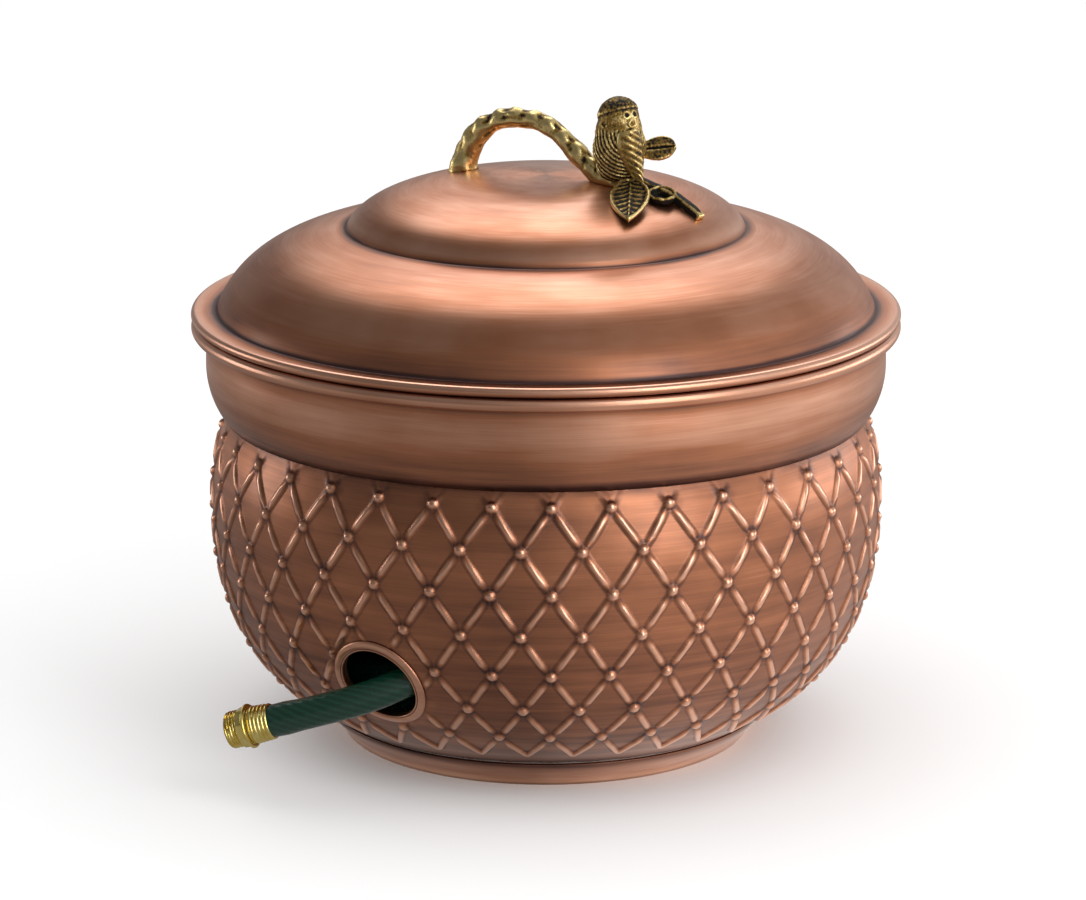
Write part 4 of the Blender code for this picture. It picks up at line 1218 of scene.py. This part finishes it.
def leaf_mesh(name, base, tip, half_width, side_tilt, vein_count, split=False):
    rows, columns = 64, 33
    run = tip - base
    along = run.normalized()
    across = along.cross(Vector((0.0, 0.0, 1.0))).normalized()
    across = (across + Vector((0.0, 0.0, side_tilt))).normalized()
    up = across.cross(along).normalized()
    top, under = [], []
    for i in range(rows):
        t = 0.004 + 0.994 * i / (rows - 1)
        width = half_width * max(sin(pi * t ** (1.5 if split else 0.85)), 0.0) ** (0.5 if split else 0.72)
        for j in range(columns):
            c = 2.0 * j / (columns - 1) - 1.0
            rim = ease((abs(c) - 0.74) / 0.12)
            rim = max(rim, ease((t - 0.93) / 0.03), ease((0.05 - t) / 0.03) * 0.5)
            rib = exp(-(c / 0.055) ** 2)
            vein = max(0.0, sin(2 * pi * (t * vein_count - abs(c) * 1.1))) ** 0.6 * (1 - rim)
            if split:
                height = 0.0022 * (1 - exp(-(c / 0.13) ** 2)) * sqrt(max(0.0, 1 - c * c))
                height -= 0.0006 * exp(-(c / 0.07) ** 2)
            else:
                height = 0.0013 * rim + 0.0010 * rib + 0.0008 * vein
            bow = -0.10 * half_width * (1 - c * c) - 0.0025 * t * t
            spot = base + run * t + across * (c * width)
            top.append(spot + up * (LEAF_THICK * 0.35 + height + bow * 0.6))
            under.append(spot + up * (-LEAF_THICK * 0.65 + bow * 0.6 + 0.0006 * c * c))
    mesh = mesh_of(name, top + under, plate_faces(rows, columns))
    faces_outwards(mesh)
    for vertex in mesh.vertices:
        vertex.co += vertex.normal * 0.00035 * noise.noise(vertex.co * 500.0)
    note_hollows(mesh, 2.6, lambda p: 0.10)
    return mesh


finish_casting("front_leaf", leaf_mesh("front_leaf", Vector((0.0760, -0.0075, 0.4245)),
                                       Vector((0.1050, -0.0620, 0.4105)), 0.0142, -0.05, 9.0), ["leaf_front"])
finish_casting("rear_leaf", leaf_mesh("rear_leaf", Vector((0.0700, 0.0050, 0.4435)),
                                      Vector((0.0985, 0.0185, 0.4480)), 0.0092, -1.6, 5.0, split=True),
               ["leaf_rear"])

# %% [markdown]
# ## The bird
# A stout little bird looks out to the right over the twig. Its body and head are round forms melted
# together with a voxel remesh, as a modeller would press clay together. Feathers are then cut in by
# moving points: curved grooves round the wing's shoulder on the breast, barbs on the wing, fine
# strokes over the cap.

# %% The bird
BIRD_LOOK = Vector((0.90, -0.36, -0.12)).normalized()
HEAD = Vector((0.0620, -0.0010, 0.4684))
SEAT = Vector((0.0620, 0.0, 0.4460))
BREAST = Vector((0.60, -0.80, 0.0))
BEAK = HEAD + BIRD_LOOK * 0.0160 + Vector((-0.0005, -0.0014, 0.0006))


def add_ball(shape, centre, radii, turn=None):
    made = bmesh.ops.create_icosphere(shape, subdivisions=4, radius=1.0)
    size = Matrix.Diagonal((*radii, 1.0))
    bmesh.ops.transform(shape, verts=made["verts"],
                        matrix=Matrix.Translation(centre) @ (turn or Matrix.Identity(4)) @ size)


def melted(shape, voxel, smooth_times):
    rough = bpy.data.meshes.new("clay")
    shape.to_mesh(rough)
    shape.free()
    lump = bpy.data.objects.new("clay", rough)
    bpy.context.collection.objects.link(lump)
    melt = lump.modifiers.new("melt", "REMESH")
    melt.mode = "VOXEL"
    melt.voxel_size = voxel
    rub = lump.modifiers.new("rub", "SMOOTH")
    rub.iterations = smooth_times
    rub.factor = 0.6
    mesh = baked(lump)
    bpy.data.objects.remove(lump, do_unlink=True)
    return mesh


def bird_mesh():
    shape = bmesh.new()
    lean = Matrix.Rotation(radians(6), 4, "Y")
    add_ball(shape, SEAT, (0.0196, 0.0180, 0.0232), lean)
    add_ball(shape, SEAT + Vector((-0.0005, 0.0, 0.0120)), (0.0172, 0.0162, 0.0200), lean)
    add_ball(shape, HEAD, (0.0150, 0.0148, 0.0150))
    add_ball(shape, SEAT + Vector((-0.0020, 0.0, -0.0150)), (0.0150, 0.0140, 0.0100))
    face_turn = BIRD_LOOK.to_track_quat("Z", "Y").to_matrix().to_4x4()
    add_ball(shape, HEAD + BIRD_LOOK * 0.0085 + Vector((0, 0, -0.0035)), (0.0085, 0.0085, 0.0078), face_turn)
    mesh = melted(shape, 0.0008, 6)
    right = BIRD_LOOK.cross(Vector((0, 0, 1))).normalized()
    eyes = [HEAD + BIRD_LOOK * 0.0136 + right * side * 0.0034 + Vector((0, 0, 0.0060)) for side in (-1, 1)]
    mouth = BEAK + BIRD_LOOK * 0.0010
    shoulder = Vector((0.0768, -0.0101, 0.4600))
    for vertex in mesh.vertices:
        point, normal = vertex.co, vertex.normal
        below_head = ease((0.4640 - point.z) / 0.006)
        frontal = ease((BREAST.dot((point - SEAT).normalized()) + 0.75) / 0.5)
        far = (point - shoulder).length
        groove = 0.5 - 0.5 * cos(2 * pi * far / 0.0029)
        lift = 0.0009 * (groove ** 0.7 - 0.6) * below_head * frontal
        from_cap = (point - (HEAD + Vector((0.0, 0.0, 0.0022)))).dot(Vector((-0.42, 0.2, 1.0)).normalized())
        cap = ease((from_cap - 0.0010) / 0.0010)
        strokes = noise.noise(Vector((point.x * 500, point.y * 500, point.z * 120)))
        lift += cap * (0.0010 + 0.0003 * strokes)
        back = ease((-BREAST.dot((point - SEAT).normalized()) + 0.15) / 0.4) * below_head
        scales = sin(point.z * 2 * pi / 0.0048) * cos(atan2(point.y, point.x - SEAT.x) * 12)
        lift += 0.0005 * scales * back
        near_eye = min((point - eye).length for eye in eyes)
        lift += 0.0004 * exp(-((near_eye - 0.0024) / 0.0008) ** 2) - 0.0012 * exp(-(near_eye / 0.0013) ** 2)
        face = exp(-((point - BEAK).length / 0.0085) ** 2)
        vertex.co = point + normal * (lift + 0.0003 * (1 - face) * noise.noise(point * 700.0))
    mesh.update()

    def black_places(p):
        socket = exp(-(min((p - eye).length for eye in eyes) / 0.0014) ** 2)
        throat = exp(-((p - mouth).length / 0.0017) ** 2)
        hood = 0.16 * ease((p.z - HEAD.z - 0.0040) / 0.006)
        clean_face = -0.30 * exp(-((p - BEAK).length / 0.0080) ** 2)
        # The bird is also darker below 0.43 m, towards its underside where it sits on the branch.
        return 0.25 * ease((0.4300 - p.z) / 0.008) + 0.8 * socket + 0.9 * throat + hood + clean_face
    note_hollows(mesh, 3.0, black_places)
    return mesh


def beak_and_curl():
    """A blunt round beak, and the little curl of feathers behind the cheek."""
    shape = bmesh.new()
    stub = BIRD_LOOK.to_track_quat("Z", "Y").to_matrix().to_4x4()
    for i in range(20):
        turn = 2 * pi * i / 20
        rim = BEAK + stub.to_3x3() @ Vector((0.0027 * cos(turn), 0.0027 * sin(turn), 0.0012))
        add_ball(shape, rim, (0.0010, 0.0010, 0.0010))
    towards = Vector((0.30, -0.90, 0.25)).normalized()
    round_way = towards.cross(Vector((0, 0, 1))).normalized()
    above = round_way.cross(towards)
    centre = Vector((0.0574, -0.0150, 0.4655))
    for i in range(22):
        turn = radians(-70 + 290 * i / 21)
        spot = centre + (round_way * cos(turn) + above * sin(turn)) * 0.0026
        add_ball(shape, spot, (0.0011, 0.0011, 0.0011))
    mesh = melted(shape, 0.0005, 2)
    note_hollows(mesh, 2.0)
    return mesh


def wing_mesh(name, root, tip, half_width, outwards):
    """A wing folded against the body: a long plate whose barbs slant across it."""
    rows, columns = 48, 25
    run = tip - root
    along = run.normalized()
    across = along.cross(outwards).normalized()
    outwards = across.cross(along).normalized()
    top, under = [], []
    for i in range(rows):
        t = i / (rows - 1)
        width = half_width * (sin(pi * (0.08 + 0.92 * t) ** 0.62)) ** 0.8 + 0.0006
        for j in range(columns):
            c = 2.0 * j / (columns - 1) - 1.0
            barb = max(0.0, sin(2 * pi * (t * 7.0 + c * 1.5)))
            height = 0.0016 * sqrt(max(0.0, 1 - c * c)) + 0.0007 * barb * (1 - c ** 6)
            curve = -0.0045 * c * c
            spot = root + run * t + across * (c * width) + outwards * curve
            top.append(spot + outwards * height)
            under.append(spot - outwards * 0.0016)
    mesh = mesh_of(name, top + under, plate_faces(rows, columns))
    faces_outwards(mesh)
    note_hollows(mesh, 2.6)
    return mesh


finish_casting("bird", bird_mesh(), ["handle_bird"])
finish_casting("bird_beak_and_curl", beak_and_curl())
finish_casting("bird_near_wing", wing_mesh("near_wing", Vector((0.0782, -0.0128, 0.4625)),
                                           Vector((0.0850, -0.0066, 0.4225)), 0.0096,
                                           Vector((0.84, -0.52, 0.12))))
finish_casting("bird_far_wing", wing_mesh("far_wing", Vector((0.0560, 0.0165, 0.4620)),
                                          Vector((0.0720, 0.0170, 0.4330)), 0.0085, Vector((0.1, 1.0, 0.1))))

# %% [markdown]
# ## The cup on the twig
# Beside the twig lies a little open cup, black inside with a rubbed gold lip. It is turned like the
# fittings, on an axis that leans forward, and then roughened like the rest of the casting.

# %% The cup
def twig_cup():
    section = [(0.0, -0.0050), (0.0060, -0.0048), (0.0092, -0.0034), (0.0104, -0.0008), (0.0106, 0.0010),
               (0.0101, 0.0020), (0.0092, 0.0023), (0.0084, 0.0017), (0.0081, 0.0004), (0.0070, -0.0022),
               (0.0045, -0.0034), (0.0, -0.0036)]
    lean = Vector((0.15, -0.25, 0.95)).normalized()
    seat = Vector((0.1010, -0.0060, 0.4165))
    mesh = turn_fitting("twig_cup", section, seat, lean, sides=56)
    work = bmesh.new()
    work.from_mesh(mesh)
    bmesh.ops.remove_doubles(work, verts=work.verts, dist=0.000001)
    bmesh.ops.subdivide_edges(work, edges=work.edges, cuts=1, use_grid_fill=True)
    work.normal_update()
    for vertex in work.verts:
        vertex.co += vertex.normal * 0.0004 * noise.noise(vertex.co * 420.0)
    work.to_mesh(mesh)
    work.free()
    inside = seat + lean * 0.0016

    def black_places(p):
        return 0.55 * ease(-(p - inside).dot(lean) / 0.0012)
    note_hollows(mesh, 1.5, black_places)
    return mesh


finish_casting("twig_cup", twig_cup())

# %% [markdown]
# ## Rubber and steel
# The swivel's washer is nitrile rubber and the handle's screws are plain zinc-plated steel. Their CAD
# shapes are right as they are, so they stay and only get their materials.

# %% Rubber, steel and the kept CAD pieces
def small_part_finish(name, light, dark, metallic, rough_low, rough_high, grain_mm):
    """A cloudy colour and roughness whose grain has a real size."""
    material, tree, shader = new_material(name, Metallic=metallic)
    place = add(tree, "ShaderNodeTexCoord")
    grain = add(tree, "ShaderNodeTexNoise", {"Vector": place.outputs["Object"], "Scale": 1000.0 / grain_mm,
                                             "Detail": 3.0})
    colour = add(tree, "ShaderNodeValToRGB", {"Fac": grain.outputs["Fac"]})
    set_stops(colour, (0.3, dark), (0.7, light))
    tree.links.new(colour.outputs["Color"], shader.inputs["Base Color"])
    rough = add(tree, "ShaderNodeMapRange", {"Value": grain.outputs["Fac"], "To Min": rough_low,
                                             "To Max": rough_high})
    tree.links.new(rough.outputs["Result"], shader.inputs["Roughness"])
    bump = add(tree, "ShaderNodeBump", {"Height": grain.outputs["Fac"], "Strength": 0.1, "Distance": 0.0002})
    tree.links.new(bump.outputs["Normal"], shader.inputs["Normal"])
    return material


zinc_steel = small_part_finish("zinc_plated_steel", "#C9CBCE", "#94979B", 1.0, 0.25, 0.42, 3.0)
black_rubber = small_part_finish("nitrile_rubber", "#2A2A2A", "#141414", 0.0, 0.6, 0.8, 1.5)
for node, material in (("arch_screw", zinc_steel), ("arch_washer", zinc_steel), ("bird_screw", zinc_steel),
                       ("bird_washer", zinc_steel), ("hose_washer", black_rubber), ("hose_tail_spigot", brass)):
    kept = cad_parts[node]
    kept.data.materials.clear()
    kept.data.materials.append(material)
    print(node, "keeps its CAD shape")
